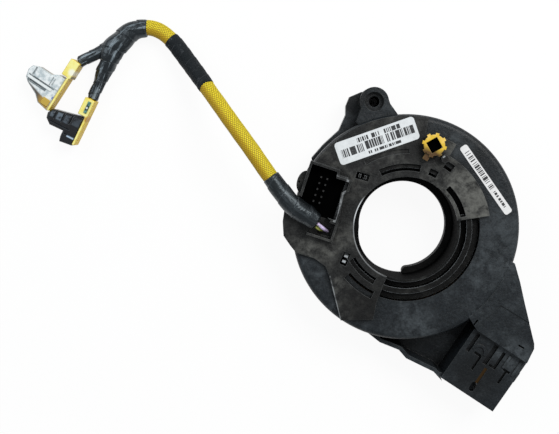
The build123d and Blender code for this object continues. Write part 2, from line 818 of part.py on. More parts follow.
# Lock button with its return spring
with BuildPart() as lock_button:
    with BuildSketch(local_plane(lock_centre, lock_turn, lock_crown_low)):
        Circle(lock_crown_r)
        with PolarLocations(lock_crown_r, lock_teeth):
            Rectangle(lock_tooth, lock_tooth)
        Rectangle(lock_hole, lock_hole, mode=Mode.SUBTRACT)
    extrude(amount=lock_crown_t)
    with BuildSketch(local_plane(lock_centre, lock_turn, lock_crown_low - lock_skirt_h)):
        Circle(lock_crown_r)
        Circle(lock_skirt_in_r, mode=Mode.SUBTRACT)
    extrude(amount=lock_skirt_h)
    with BuildSketch(local_plane(lock_centre, lock_tab_turn, lock_crown_low - lock_skirt_h)):
        with Locations((lock_crown_r + lock_tab_reach, 0)):
            Rectangle(*lock_tab_size)
    extrude(amount=lock_skirt_h + 2 * lap)
save(lock_button, "lock_button")

with BuildPart() as lock_spring:
    spring_h = lock_crown_low - plate_top
    with BuildLine():
        Helix(
            pitch=(spring_h - lock_spring_wire) / 3, height=spring_h - lock_spring_wire - 0.04,
            radius=lock_spring_r,
            center=(*lock_centre, plate_top + lock_spring_wire / 2 + 0.02),
        )
    with BuildSketch(
        Plane(
            origin=(
                lock_centre[0] + lock_spring_r, lock_centre[1],
                plate_top + lock_spring_wire / 2 + 0.02,
            ),
            z_dir=(0, 1, 0),
        )
    ):
        Circle(lock_spring_wire / 2)
    sweep(is_frenet=True)
save(lock_spring, "lock_spring")

# Pins in the connector box
with BuildPart() as stator_pins:
    with BuildSketch(pin_plane):
        with Locations(*stator_pin_places):
            Rectangle(stator_pin_w, stator_pin_w)
    extrude(amount=stator_pin_l + box_back_t)
save(stator_pins, "stator_pins")


# Harness: a bundle from the lead outlet down to the airbag plugs, in taped and braided stretches
def corner_radii(points):
    """Radius of the arc at each inner point: as large as its two runs allow."""
    radii = []
    for before, here, after in zip(points, points[1:], points[2:]):
        run_in = Vector(*here) - Vector(*before)
        run_out = Vector(*after) - Vector(*here)
        half_turn = radians(run_in.get_angle(run_out) / 2)
        radii.append(arc_share * min(run_in.length, run_out.length) / tan(half_turn))
    return radii


def middle(a, b):
    """Point half way along a run."""
    return tuple((p + q) / 2 for p, q in zip(a, b))


def cord_stretch(points, first, last, radius, name):
    """Tube along part of a route, from the run before point first to the run after point last."""
    radii = corner_radii(points)
    start = points[0] if first == 0 else middle(points[first - 1], points[first])
    end = points[-1] if last == len(points) - 1 else middle(points[last], points[last + 1])
    inner = points[max(first, 1): min(last, len(points) - 2) + 1]
    inner_radii = radii[max(first, 1) - 1: min(last, len(points) - 2)]
    with BuildPart() as stretch:
        with BuildLine() as path:
            FilletPolyline(start, *inner, end, radius=inner_radii)
        with BuildSketch(Plane(origin=path.line @ 0, z_dir=path.line % 0)):
            Circle(radius)
        sweep()
    length = sum(edge.length for edge in path.edges())
    expected = pi * radius**2 * length
    print(f"{name}: length {length:.1f}, radii {[round(r, 1) for r in inner_radii]},",
          f"volume over section times length {stretch.part.volume / expected:.4f}")
    save(stretch, name)


cord_stretch(route, 0, 3, boot_r, "harness_boot")
cord_stretch(route, 4, 7, cord_r, "harness_braid_long")
cord_stretch(route, 8, 10, tape_r, "harness_tape")
cord_stretch(route, 11, 12, cord_r, "harness_braid_bend")
cord_stretch(route, 13, 15, split_r, "harness_split_tape")
cord_stretch(branch_a_route, 0, 3, branch_r, "branch_a")
cord_stretch(branch_b_route, 0, 4, branch_r, "branch_b")


# Two leads from the end of the boot down into the outlet's window
with BuildPart() as outlet_leads:
    for points in (
        ((-42.6, 2.9, 33.6), (-39.6, 0.4, 33.2), (-38.0, -1.4, plate_z + 0.2)),
        ((-43.4, 1.4, 31.6), (-41.8, 0.1, 31.4), (-40.6, -0.9, plate_z + 0.2)),
    ):
        with BuildLine() as path:
            FilletPolyline(*points, radius=1.2)
        with BuildSketch(Plane(origin=path.line @ 0, z_dir=path.line % 0)):
            Circle(wire_r)
        sweep(path=path.line)
save(outlet_leads, "outlet_leads")


# Airbag plugs: a yellow cover over the wire end, and a plug body with its nose beside it
def plug_cover(origin, turn, length, block_y, strip_inset, name):
    """Block over the wires, with a thin strip along the back of the plug."""
    strip_y = block_y + plug_block_w / 2 - strip_inset - plug_cover_t / 2
    with BuildPart() as cover:
        with BuildSketch(local_plane(origin, turn, 0)) as outline:
            with Locations((plug_block_l / 2, block_y)):
                Rectangle(plug_block_l, plug_block_w)
            with Locations((length / 2, strip_y)):
                Rectangle(length, plug_cover_t)
            fillet(outline.vertices(), plug_corner_r)
        extrude(amount=plug_h)
        chamfer(cover.faces().sort_by(Axis.Z)[-1].edges(), plug_edge)
    save(cover, name)


def plug_body(origin, turn, outline, nose, grooves, name):
    """Moulded body whose nose is open at its tip, with grooves round its latch arm."""
    with BuildPart() as body:
        with BuildSketch(local_plane(origin, turn, 0)):
            with BuildLine():
                Polyline(*outline, close=True)
            make_face()
        extrude(amount=plug_body_h)
        chamfer(body.faces().sort_by(Axis.Z)[-1].edges(), plug_rounding)
        with BuildSketch(local_plane(origin, turn, plug_nose_wall)):
            with Locations((nose[0], nose[1] + plug_nose_depth / 2)):
                Rectangle(plug_nose_w, plug_nose_depth)
        extrude(amount=plug_body_h - 2 * plug_nose_wall, mode=Mode.SUBTRACT)
        with BuildSketch(local_plane(origin, turn, plug_body_h)):
            for x, y, width, length in grooves:
                with Locations((x, y)):
                    Rectangle(width, length)
        extrude(amount=-plug_groove_depth, mode=Mode.SUBTRACT)
    save(body, name)


def plug_terminals(origin, turn, nose, name):
    """Two round terminals that stand on the bottom of the nose."""
    with BuildPart() as terminals:
        along = Vector(cos(radians(turn)), sin(radians(turn)), 0)
        across = Vector(-sin(radians(turn)), cos(radians(turn)), 0)
        floor_y = nose[1] + plug_nose_depth
        base = Vector(*origin, plug_body_h / 2) + along * nose[0] + across * floor_y
        for side in (-1, 1):
            at = base + Vector(0, 0, side * plug_terminal_pitch / 2)
            with BuildSketch(Plane(origin=at, z_dir=-across)):
                Circle(plug_terminal_r)
            extrude(amount=plug_nose_depth - plug_terminal_setback)
    save(terminals, name)


def plug_latch(origin, turn, place, size, low, name):
    """Locking tab on the upper side of a plug."""
    with BuildPart() as latch:
        with BuildSketch(local_plane(origin, turn, low)):
            with Locations(place):
                Rectangle(*size)
        extrude(amount=plug_latch_t)
        chamfer(latch.faces().sort_by(Axis.Z)[-1].edges(), plug_edge)
    save(latch, name)


plug_cover(
    plug_a_origin, plug_a_turn, plug_a_l, plug_a_block_y, plug_a_strip_inset, "plug_a_cover"
)
plug_body(plug_a_origin, plug_a_turn, plug_a_outline, plug_a_nose, plug_a_grooves, "plug_a_body")
plug_terminals(plug_a_origin, plug_a_turn, plug_a_nose, "plug_a_terminals")
plug_latch(plug_a_origin, plug_a_turn, (25.4, -3.4), (3.6, 4.0), plug_body_h, "plug_a_latch")

plug_cover(
    plug_b_origin, plug_b_turn, plug_b_l, plug_b_block_y, plug_b_strip_inset, "plug_b_cover"
)
plug_body(plug_b_origin, plug_b_turn, plug_b_outline, plug_b_nose, plug_b_grooves, "plug_b_body")
plug_terminals(plug_b_origin, plug_b_turn, plug_b_nose, "plug_b_terminals")
plug_latch(plug_b_origin, plug_b_turn, (4.4, 0.4), (6.2, 1.6), plug_h, "plug_b_latch")
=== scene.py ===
"""Looks of a steering clock spring: finishes, harness and plugs over its fixed CAD frame.

All lengths are in metres, in the frame of the CAD model, with Z along the column bore.
"""

import json
import math
from functools import reduce

import bpy
import numpy as np
from bpy.props import FloatProperty, FloatVectorProperty, IntProperty, PointerProperty
from mathutils import Matrix, Vector


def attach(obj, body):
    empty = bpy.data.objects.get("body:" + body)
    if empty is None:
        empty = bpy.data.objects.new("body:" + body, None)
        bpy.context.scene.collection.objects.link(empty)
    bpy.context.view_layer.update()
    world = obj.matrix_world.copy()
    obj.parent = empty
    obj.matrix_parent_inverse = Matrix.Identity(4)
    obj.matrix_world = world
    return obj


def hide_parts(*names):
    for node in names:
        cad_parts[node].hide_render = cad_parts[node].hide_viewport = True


bl_info = {
    "name": "Clock Spring Looks",
    "version": (1, 0, 0),
    "blender": (4, 5, 0),
    "location": "3D View > Sidebar > Clock Spring",
    "description": "Dresses the CAD model of a steering clock spring with finishes and a harness",
    "category": "Object",
}

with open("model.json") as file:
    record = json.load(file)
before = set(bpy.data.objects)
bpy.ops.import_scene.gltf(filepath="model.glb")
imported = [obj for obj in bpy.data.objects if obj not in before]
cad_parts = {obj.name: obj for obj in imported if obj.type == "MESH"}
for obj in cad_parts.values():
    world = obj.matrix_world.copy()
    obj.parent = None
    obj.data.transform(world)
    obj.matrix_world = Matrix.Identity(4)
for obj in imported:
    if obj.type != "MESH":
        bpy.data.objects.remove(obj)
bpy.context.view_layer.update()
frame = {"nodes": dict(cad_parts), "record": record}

# Route of the harness, from the lead outlet to the fork
HARNESS_ROUTE = [
    (-0.0428, 0.0036, 0.0326), (-0.0483, 0.0073, 0.0330), (-0.0537, 0.0111, 0.0333),
    (-0.0587, 0.0164, 0.0333), (-0.0641, 0.0236, 0.0330), (-0.0722, 0.0354, 0.0324),
    (-0.0805, 0.0467, 0.0304), (-0.0892, 0.0582, 0.0245), (-0.0984, 0.0701, 0.0156),
    (-0.1070, 0.0813, 0.0084), (-0.1146, 0.0911, 0.0052), (-0.1211, 0.0967, 0.0048),
    (-0.1288, 0.0985, 0.0048), (-0.1364, 0.0956, 0.0049), (-0.1423, 0.0905, 0.0049),
    (-0.1461, 0.0861, 0.0049),
]
# On from the fork to each plug
BRANCH_B_ROUTE = [
    (-0.1479, 0.0798, 0.0044), (-0.1508, 0.0746, 0.0045), (-0.1532, 0.0688, 0.0046),
    (-0.1564, 0.0616, 0.0047),
]
BRANCH_A_ROUTE = [
    (-0.1482, 0.0879, 0.0044), (-0.1527, 0.0855, 0.0045), (-0.1577, 0.0831, 0.0046),
    (-0.1632, 0.0803, 0.0047),
]
# Ends of its stretches, as distances along the route
BOOT_END = 0.0305
TAPE_START = 0.0878
TAPE_END = 0.1212
FORK_TAPE_START = 0.1345
FORK = 0.1573
# Steps between stations along it and points round it, for the sleeve and for the tapes
SLEEVE_STEP, SLEEVE_SIDES = 0.00024, 96
TAPE_STEP, TAPE_SIDES = 0.00018, 72

# Places on the part: a centre on the XY plane and a turn about Z in degrees
EAR_HOLE = ((-0.0154, 0.061), 0.0)
SOCKET = ((-0.041, 0.0187), -18.0)
LOCK_BUTTON = ((0.0126, 0.0403), 30.0)
GUIDE_POST = ((0.0172, 0.0348), 30.0)
WING_EDGE = ((-0.0337, -0.0342), -76.3)
SNAP_POSTS = ((-0.0307, -0.0148), 0.0)
LARGE_LABEL = ((-0.0143, 0.0422), 19.4)
NARROW_LABEL = ((0.0382, 0.0236), -54.7)
PALE_PLUG = ((-0.1617, 0.0804), 236.2)
BLACK_PLUG = ((-0.1559, 0.0624), 243.3)
# Two centres alone, and the radius of the bore's edge
BLACK_PLUG_LATCH = (-0.1577, 0.0581)
CASE_LOBE = (-0.0517, 0.0214)
BORE_RADIUS = 0.0252

# Rows of bars on a label: y low, y high, x start, x end, length of a cell, share that is ink
LARGE_PRINT = [
    (0.0022, 0.0044, -0.0090, 0.0130, 0.00042, 0.5),
    (-0.0026, 0.0014, -0.0180, -0.0070, 0.00036, 0.62),
    (-0.0022, 0.0018, -0.0060, 0.0185, 0.00030, 0.6),
    (-0.0046, -0.0032, -0.0070, 0.0110, 0.00034, 0.55),
]
NARROW_PRINT = [
    (-0.0012, 0.0014, -0.0165, 0.0055, 0.00034, 0.52),
    (-0.0006, 0.0007, 0.0068, 0.0172, 0.00040, 0.5),
]

# Lamps: name, place, share of the key power, colour
LAMPS = (
    ("key_lamp", (0.42, 0.5, 0.85), 2.4, (1.0, 0.99, 0.97)),
    ("side_lamp", (-0.6, 0.45, 0.6), 0.7, (0.93, 0.97, 1.0)),
)
LAMP_SIZE = 0.5
FLOOR_REACH = 2.0
FLOOR_HEIGHT = -0.0002


# Shader maths


class Value:
    """A shader socket on which Python's arithmetic adds Math nodes."""

    def __init__(self, finish, socket):
        self.finish = finish
        self.socket = socket

    def math(self, operation, *others, clamp=False):
        """A Math node with this value first."""
        return self.finish.node(
            "ShaderNodeMath",
            {"operation": operation, "use_clamp": clamp},
            dict(enumerate((self, *others))),
        )

    def reflected(self, operation, other):
        """A Math node with this value second."""
        return self.finish.node("ShaderNodeMath", {"operation": operation}, {0: other, 1: self})

    def __add__(self, other):
        return self.math("ADD", other)

    def __sub__(self, other):
        return self.math("SUBTRACT", other)

    def __rsub__(self, other):
        return self.reflected("SUBTRACT", other)

    def __mul__(self, other):
        return self.math("MULTIPLY", other)

    def __truediv__(self, other):
        return self.math("DIVIDE", other)

    def __pow__(self, other):
        return self.math("POWER", other)

    def __gt__(self, other):
        return self.math("GREATER_THAN", other)

    def __lt__(self, other):
        return self.math("LESS_THAN", other)

    __radd__ = __add__
    __rmul__ = __mul__

    def clamped(self):
        return self.math("ADD", 0.0, clamp=True)

    def floor(self):
        return self.math("FLOOR")

    def absolute(self):
        return self.math("ABSOLUTE")

    def step(self, low, high):
        """Soft step: 0 below low, 1 above high, smooth between."""
        return self.finish.node(
            "ShaderNodeMapRange",
            {"interpolation_type": "SMOOTHSTEP"},
            {0: self, 1: low, 2: high, 3: 0.0, 4: 1.0},
        )


class Finish:
    """A material in the making: one Principled surface and the nodes that feed it."""

    def __init__(self, name, **fixed):
        self.material = bpy.data.materials.new(name)
        self.material.use_nodes = True
        self.tree = self.material.node_tree
        self.surface = self.tree.nodes["Principled BSDF"]
        for socket, value in fixed.items():
            self.feed(socket.replace("_", " ").title().replace("Ior", "IOR"), value)
        self.place = self.node("ShaderNodeTexCoord", {}, {}, "Object")

    def node(self, kind, settings, sockets, output=0):
        """Any node: its settings first, then the values or links of its sockets."""
        made = self.tree.nodes.new(kind)
        for name, value in settings.items():
            setattr(made, name, value)
        for key, value in sockets.items():
            self.connect(made.inputs[key], value)
        return Value(self, made.outputs[output])

    def connect(self, socket, value):
        """Links a value to a socket, or sets a number or colour on it."""
        if isinstance(value, Value):
            self.tree.links.new(value.socket, socket)
        elif hasattr(value, "__len__") and len(value) == 3 and socket.type == "RGBA":
            socket.default_value = (*value, 1.0)
        else:
            socket.default_value = value

    def feed(self, socket, value):
        """Gives a value or a constant to a socket of the Principled surface."""
        self.connect(self.surface.inputs[socket], value)

    def noise(self, scale, detail=3.0, roughness=0.55, at=None, stretch=None, distortion=0.0):
        """Cloudy noise from 0 to 1, with cells of about one over the scale."""
        where = at or self.place
        if stretch:
            where = self.node("ShaderNodeMapping", {}, {0: where, 3: stretch})
        return self.node(
            "ShaderNodeTexNoise",
            {},
            {"Vector": where, "Scale": scale, "Detail": detail, "Roughness": roughness,
             "Distortion": distortion},
        )

    def cells(self, scale):
        """Distance to the nearest of a set of scattered points."""
        return self.node("ShaderNodeTexVoronoi", {}, {"Vector": self.place, "Scale": scale})

    def mixed(self, mask, first, second):
        """Colour that goes from the first to the second as the mask goes from 0 to 1."""
        return self.node(
            "ShaderNodeMix", {"data_type": "RGBA"}, {0: mask, 6: first, 7: second}, 2
        )

    def local(self, centre, turn):
        """X, Y and Z in a frame at a centre, turned about Z by degrees."""
        inside = self.node(
            "ShaderNodeMapping",
            {"vector_type": "TEXTURE"},
            {0: self.place, 1: (*centre, 0.0), 2: (0.0, 0.0, math.radians(turn))},
        )
        return self.parts(inside)

    def parts(self, vector):
        """X, Y and Z of a vector, as three values."""
        return [self.node("ShaderNodeSeparateXYZ", {}, {0: vector}, axis) for axis in range(3)]

    def away(self, x, y):
        """Distance on the XY plane from a point."""
        here = self.parts(self.place)
        return ((here[0] - x) ** 2.0 + (here[1] - y) ** 2.0) ** 0.5

    def near(self, x, y, radius):
        """1 within a spot on the XY plane, falling smoothly to 0 at the radius."""
        return 1.0 - self.away(x, y).step(radius * 0.35, radius)

    def panel(self, x, y, low, high, soft):
        """1 within a rectangle of two values, given by two corners, with soft sides."""
        across, along = [
            value.step(first - soft, first + soft) * (1.0 - value.step(last - soft, last + soft))
            for value, first, last in zip((x, y), low, high)
        ]
        return across * along

    def facing_up(self):
        """1 where the surface looks up, 0 on walls."""
        normal = self.node("ShaderNodeTexCoord", {}, {}, "Normal")
        return self.parts(normal)[2].step(0.55, 0.9)

    def open_sky(self, reach):
        """1 on open faces, falling to 0 deep inside grooves, sockets and holes."""
        seen = self.node("ShaderNodeAmbientOcclusion", {"samples": 8}, {"Distance": reach}, "AO")
        return seen.step(0.12, 0.78)

    def rounded(self, radius):
        """Normal with edges rounded to a radius."""
        return self.node("ShaderNodeBevel", {"samples": 6}, {"Radius": radius})

    def edges(self, normal):
        """1 on edges and 0 on flats, from how far the rounded normal leans."""
        flat = self.node("ShaderNodeNewGeometry", {}, {}, "Normal")
        lean = self.node(
            "ShaderNodeVectorMath", {"operation": "DOT_PRODUCT"}, {0: normal, 1: flat}, "Value"
        )
        return (1.0 - lean).step(0.02, 0.3)

    def paint_deep_shade(self, mask):
        """Paints shade: a dull black takes over where the mask is 1, as deep inside a socket."""
        black = self.node(
            "ShaderNodeBsdfDiffuse", {}, {"Color": (0.0012, 0.0012, 0.0013), "Roughness": 1.0}
        )
        self.covered(mask, black)

    def covered(self, mask, shader):
        """Shows another shader in place of the Principled surface where the mask is 1."""
        paint = Value(self, self.surface.outputs[0])
        shown = self.node("ShaderNodeMixShader", {}, {0: mask, 1: paint, 2: shader})
        self.connect(self.tree.nodes["Material Output"].inputs["Surface"], shown)

    def inside(self, centre, turn, low, high, top):
        """1 within a turned rectangle, given by its low and high corners, and below a height."""
        x, y, z = self.local(centre, turn)
        return (x > low[0]) * (x < high[0]) * (y > low[1]) * (y < high[1]) * (z < top)

    def painted(self, base, roughness, relief, distance, strength, normal=None):
        """The finished material, with its relief on top of the rounded normal if it has one."""
        self.feed("Base Color", base)
        self.feed("Roughness", roughness)
        sockets = {"Height": relief, "Distance": distance, "Strength": strength}
        if normal:
            sockets["Normal"] = normal
        self.feed("Normal", self.node("ShaderNodeBump", {}, sockets))
        return self.material


# Finishes


def highest(masks):
    """The highest of some masks at each point."""
    return reduce(lambda first, second: first.math("MAXIMUM", second), masks)


def shaded(colour, share):
    """A colour with every channel multiplied by one share, short of full white."""
    return [min(channel * share, 0.97) for channel in colour]


def dusty_moulding(
    name, colour, dust_colour, dust, roughness, edge=0.3, edge_highlight_tone=(0.30, 0.32, 0.33),
    grain=1.0, hollow_shade_reach=0.012, shaded_core=0.0, specular=0.28, spots=(), shade_and_dark_spots=(), lines=(), rim_highlights=(),
    shaded_pits=(),
):
    """Black moulded plastic: grain, dust, lighter edges, painted highlights and painted shade.

    Spots (x, y, radius, amount) hold more dust; on the housing one of them is partly a painted
    sheen in the dust colour. Shades, given the same way, are darker: painted shade in most,
    darker tone in the rest. Edges are lightened in the edge tone, partly worn and partly a
    painted highlight. Lines (centre, turn, low, high, amount) are turned rectangles painted in
    the edge tone. Rims (radius, x, y, reach, amount) are arcs round the axis, each within a spot,
    painted lighter still as highlights. Deep hollows are painted near black as shade, with no
    dust. Pits (centre, turn, low, high, top) are painted black below their top, as shade, and so,
    nearly black, is what lies within a given radius of the axis.
    """
    finish = Finish(name, specular_ior_level=specular)
    cloud = finish.noise(48.0, 4.0, 0.6)
    patches = finish.noise(210.0, 5.0, 0.65, distortion=0.2)
    mottle = finish.noise(950.0, 5.0, 0.75)
    fine = finish.noise(2600.0, 2.0, 0.5)
    specks = 1.0 - finish.cells(1500.0).step(0.1, 0.3)
    up = finish.facing_up()
    dust_and_sheen = (cloud.step(0.4, 0.68) * patches.step(0.38, 0.72)) * dust
    # Dust spots; on the housing one of them is partly a painted sheen in the dust colour
    for x, y, radius, amount in spots:
        dust_and_sheen = dust_and_sheen + finish.near(x, y, radius) * amount * patches.step(0.3, 0.62)
    speck = specks * mottle.step(0.5, 0.62) * 0.4 * dust
    cover = ((dust_and_sheen * (mottle * 1.4 + 0.3) + speck) * (up * 0.92 + 0.08)).clamped()
    normal = finish.rounded(0.0004)
    edge_wear_and_highlight = finish.edges(normal)
    base = finish.mixed(
        mottle.step(0.36, 0.66), shaded(colour, 1.0 - 0.7 * grain),
        shaded(colour, 1.0 + 0.8 * grain),
    )
    base = finish.mixed(cover, base, dust_colour)
    # Painted shade in most of these spots, darker tone in the rest: the colour turns darker
    for x, y, radius, amount in shade_and_dark_spots:
        base = finish.mixed(finish.near(x, y, radius) * amount, base, shaded(colour, 0.3))
    # Edges lightened to the edge tone: partly worn, partly a painted highlight
    base = finish.mixed((edge_wear_and_highlight * edge * (patches * 1.2 - 0.1)).clamped(), base, edge_highlight_tone)
    # Lines painted in the edge tone; on the rotor they are painted highlights
    for centre, turn, low, high, amount in lines:
        x, y, _ = finish.local(centre, turn)
        line = finish.panel(x, y, low, high, 0.0002) * patches.step(0.3, 0.6) * amount
        base = finish.mixed(line * up, base, edge_highlight_tone)
    # Painted highlights: arcs round the axis lightened almost to white
    rubbed_highlight = (0.72, 0.76, 0.78)
    for radius, x, y, reach, amount in rim_highlights:
        off_rim = (finish.away(0.0, 0.0) - radius).absolute()
        rim = (1.0 - off_rim.step(0.00012, 0.00042)) * finish.near(x, y, reach) * amount
        base = finish.mixed(rim * up, base, rubbed_highlight)
    # Painted shade: hollows darkened to near black, over any dust
    base = finish.mixed(finish.open_sky(hollow_shade_reach), shaded(colour, 0.06), base)
    # Painted shade: dull black in the pits and within the given radius of the axis
    dark = [finish.inside(*pit) for pit in shaded_pits]
    if shaded_core:
        dark.append((finish.away(0.0, 0.0) < shaded_core) * 0.85)
    if dark:
        finish.paint_deep_shade(highest(dark))
    dullness = (cover * 0.3 + mottle * 0.22 + (roughness - 0.1)).clamped()
    relief = fine * 0.3 + mottle + patches * 1.5
    return finish.painted(base, dullness, relief, 0.0002, 0.8, normal)


def clean_moulding(name, colour, roughness):
    """Coloured moulded plastic with slight flow marks, grime and soft edges.

    The edges are a little lighter, partly worn and partly a painted highlight.
    """
    finish = Finish(name)
    cloud = finish.noise(210.0, 3.0, 0.5)
    grime = finish.noise(700.0, 5.0, 0.7).step(0.52, 0.78)
    normal = finish.rounded(0.0003)
    worn = [min(channel * 1.3 + 0.12, 0.95) for channel in colour]
    base = finish.mixed(cloud, shaded(colour, 0.75), colour)
    base = finish.mixed(grime * 0.3, base, shaded(colour, 0.45))
    # Edges lightened a little: partly worn, partly a painted highlight
    base = finish.mixed(finish.edges(normal) * 0.2, base, worn)
    dullness = cloud * 0.16 + (roughness - 0.06)
    return finish.painted(base, dullness, finish.noise(3000.0, 2.0), 0.00004, 0.4, normal)


def lock_moulding(name, colour, centre):
    """Yellow lock button: painted highlight on crown and tips, orange-brown painted shade below.

    The side turned from the light and the walls are painted in shade, and the edges are lighter,
    partly worn and partly a painted highlight.
    """
    # Colours of painted shade, of painted highlight, and of the lighter edges
    brown, crown, rubbed_highlight = (0.085, 0.04, 0.008), (0.98, 0.68, 0.2), (0.95, 0.7, 0.25)
    finish = Finish(name, specular_ior_level=0.5)
    x, y, _ = finish.parts(finish.place)
    cloud = finish.noise(420.0, 4.0, 0.6)
    # Painted light: from shade on the side turned from the light to a highlight on the other
    lit = (x - centre[0]) * 0.3 + (y - centre[1]) + (cloud - 0.5) * 0.003
    base = finish.mixed(lit.step(-0.0045, 0.0005), brown, colour)
    base = finish.mixed(lit.step(0.0005, 0.0045) * cloud.step(0.4, 0.6) * 0.7, base, crown)
    # Painted shade: walls take a darker copy of the colour
    base = finish.mixed(finish.facing_up(), shaded(colour, 0.22), base)
    normal = finish.rounded(0.0003)
    # Edges lightened: partly worn, partly a painted highlight
    base = finish.mixed(finish.edges(normal) * 0.4, base, rubbed_highlight)
    return finish.painted(base, cloud * 0.2 + 0.25, cloud, 0.0002, 0.5, normal)


def pale_plug(name, bright, shade, centre, turn):
    """Pale plug: cool grey mottle, painted highlight on its ridge, painted shade, and a blue dot.

    Channels (low corner, high corner, depth) are in the plug's own X and Y, painted as shade.
    The walls, darker towards the bottom, and the foot, brown turning amber, are painted shade,
    and the edges are lightened, partly worn and partly a painted highlight.
    """
    # Colours of painted highlight, of the lighter edges, and of painted shade
    crest_highlight, rubbed_highlight, groove_shade = (0.9, 0.95, 0.95), (0.92, 0.96, 0.96), (0.05, 0.075, 0.085)
    brown, amber, wall_shade = (0.10, 0.085, 0.07), (0.50, 0.30, 0.04), (0.25, 0.20, 0.13)
    blue = (0.10, 0.17, 0.55)
    channels = [
        ((0.0199, -0.0172), (0.0213, -0.0064), 0.85), ((0.0178, -0.0156), (0.0184, -0.0030), 0.8),
        ((0.0131, -0.0163), (0.0172, -0.0155), 0.6), ((0.0129, -0.0055), (0.0168, -0.0049), 0.5),
        ((0.0104, -0.0012), (0.0178, -0.0006), 0.5), ((0.0173, -0.0052), (0.0178, -0.0006), 0.5),
    ]
    finish = Finish(name, specular_ior_level=0.5)
    x, y, z = finish.local(centre, turn)
    cloud = finish.noise(330.0, 4.0, 0.65)
    up = finish.facing_up()
    base = finish.mixed(cloud.step(0.38, 0.6), shade, bright)
    # Painted highlight along the ridge
    ridge = finish.panel(x, y, (0.0184, -0.0180), (0.0199, -0.0040), 0.0003)
    base = finish.mixed(ridge * 0.8, base, crest_highlight)
    # Painted shade in the channels
    for low, high, depth in channels:
        base = finish.mixed(finish.panel(x, y, low, high, 0.0002) * depth, base, groove_shade)
    # Painted shade on the foot: brown, turning amber along the plug
    foot = (x - y * 0.26).step(0.0252, 0.0262)
    base = finish.mixed(foot, base, finish.mixed(y.step(-0.0095, -0.0045), brown, amber))
    # Painted shade on the walls, darker towards the bottom
    base = finish.mixed(up, finish.mixed(z.step(0.0015, 0.006), wall_shade, shade), base)
    off_dot = ((x - 0.0219) ** 2.0 + (y + 0.0011) ** 2.0) ** 0.5
    base = finish.mixed((1.0 - off_dot.step(0.0006, 0.0011)) * up, base, blue)
    normal = finish.rounded(0.0006)
    # Edges lightened: partly worn, partly a painted highlight
    base = finish.mixed(finish.edges(normal) * 0.5, base, rubbed_highlight)
    relief = ridge * 2.0 + cloud * 0.6
    return finish.painted(base, cloud * 0.2 + 0.28, relief, 0.0004, 0.6, normal)


def ribbed_plug(name, colour, light, centre, turn):
    """Glossy black plug: painted blue-grey highlights between dark ribs, and a pale one at its
    foot.

    Lands (low corner, high corner, shine) are in the plug's own X and Y, and the shine is the
    share of painted highlight that a land takes where it faces up. The pale painted highlight
    lies in a band near the foot, and the edges take a little painted highlight too.
    """
    lands = [
        ((0.0138, -0.0151), (0.0166, -0.0132), 0.55), ((0.0128, -0.0118), (0.0168, -0.0088), 0.6),
        ((0.0124, -0.0078), (0.0166, -0.0050), 0.45), ((0.0116, -0.0034), (0.0160, 0.0008), 0.2),
    ]
    finish = Finish(name, specular_ior_level=0.6)
    x, y, _ = finish.local(centre, turn)
    cloud = finish.noise(700.0, 4.0, 0.6)
    up = finish.facing_up()
    base = finish.mixed(cloud, shaded(colour, 0.4), colour)
    relief = cloud * 0.2
    # Painted highlights on the lands that face up
    for low, high, shine in lands:
        land = finish.panel(x, y, low, high, 0.0005)
        relief = relief + land * 1.5
        base = finish.mixed(land * shine * cloud.step(0.3, 0.62) * up, base, light)
    # Painted highlight: a pale band near the foot
    highlight_strip = finish.panel(x, y, (0.0213, -0.0030), (0.0222, 0.0010), 0.0003)
    base = finish.mixed(highlight_strip * up * 0.9, base, shaded(light, 2.6))
    normal = finish.rounded(0.0006)
    # Painted highlight on the edges
    base = finish.mixed(finish.edges(normal) * cloud * 0.5, base, light)
    return finish.painted(base, cloud * 0.2 + 0.18, relief, 0.0006, 0.7, normal)


def yellow_cover(name, bright, deep, marks):
    """Glossy yellow cover, painted as lit and shaded copies: a pale crown and deeper sides.

    Edges are lightened, partly worn and partly a painted highlight, and marks (x, y, radius,
    colour) are laid over the crown and sides.
    """
    finish = Finish(name, specular_ior_level=0.06)
    cloud = finish.noise(260.0, 3.0, 0.5)
    dull = [channel * share for channel, share in zip(bright, (0.95, 0.86, 0.5))]
    crown = finish.mixed(cloud.step(0.35, 0.6), dull, bright)
    # Painted light: the crown takes the pale lit copy, the sides the deeper shaded one
    base = finish.mixed(finish.facing_up(), deep, crown)
    for x, y, radius, colour in marks:
        base = finish.mixed(finish.near(x, y, radius) * 0.9, base, colour)
    normal = finish.rounded(0.0004)
    # Edges lightened: partly worn, partly a painted highlight
    base = finish.mixed(finish.edges(normal) * 0.5, base, (0.98, 0.97, 0.75))
    return finish.painted(base, cloud * 0.15 + 0.26, cloud, 0.0001, 0.4, normal)


def marked_latch(name, colour, dark, centre):
    """Small latch in a dull colour, dark round a pale dot at its middle."""
    finish = Finish(name)
    cloud = finish.noise(900.0, 4.0, 0.6)
    base = finish.mixed(cloud.step(0.3, 0.6), dark, colour)
    base = finish.mixed(finish.near(*centre, 0.0022), base, dark)
    base = finish.mixed(finish.near(*centre, 0.0008), base, (0.75, 0.8, 0.78))
    normal = finish.rounded(0.0003)
    return finish.painted(base, cloud * 0.2 + 0.3, cloud, 0.00008, 0.4, normal)


def two_leads(name, first, second):
    """Smooth insulation: the second colour is on the lead beyond the line x + y = border."""
    border = -0.0405
    finish = Finish(name)
    x, y, _ = finish.parts(finish.place)
    shade = finish.noise(900.0, 3.0)
    base = finish.mixed(x + y < border, first, second)
    base = finish.mixed(shade.step(0.5, 0.75) * 0.3, base, (0.2, 0.2, 0.2))
    return finish.painted(base, shade * 0.2 + 0.22, shade, 0.00004, 0.3)


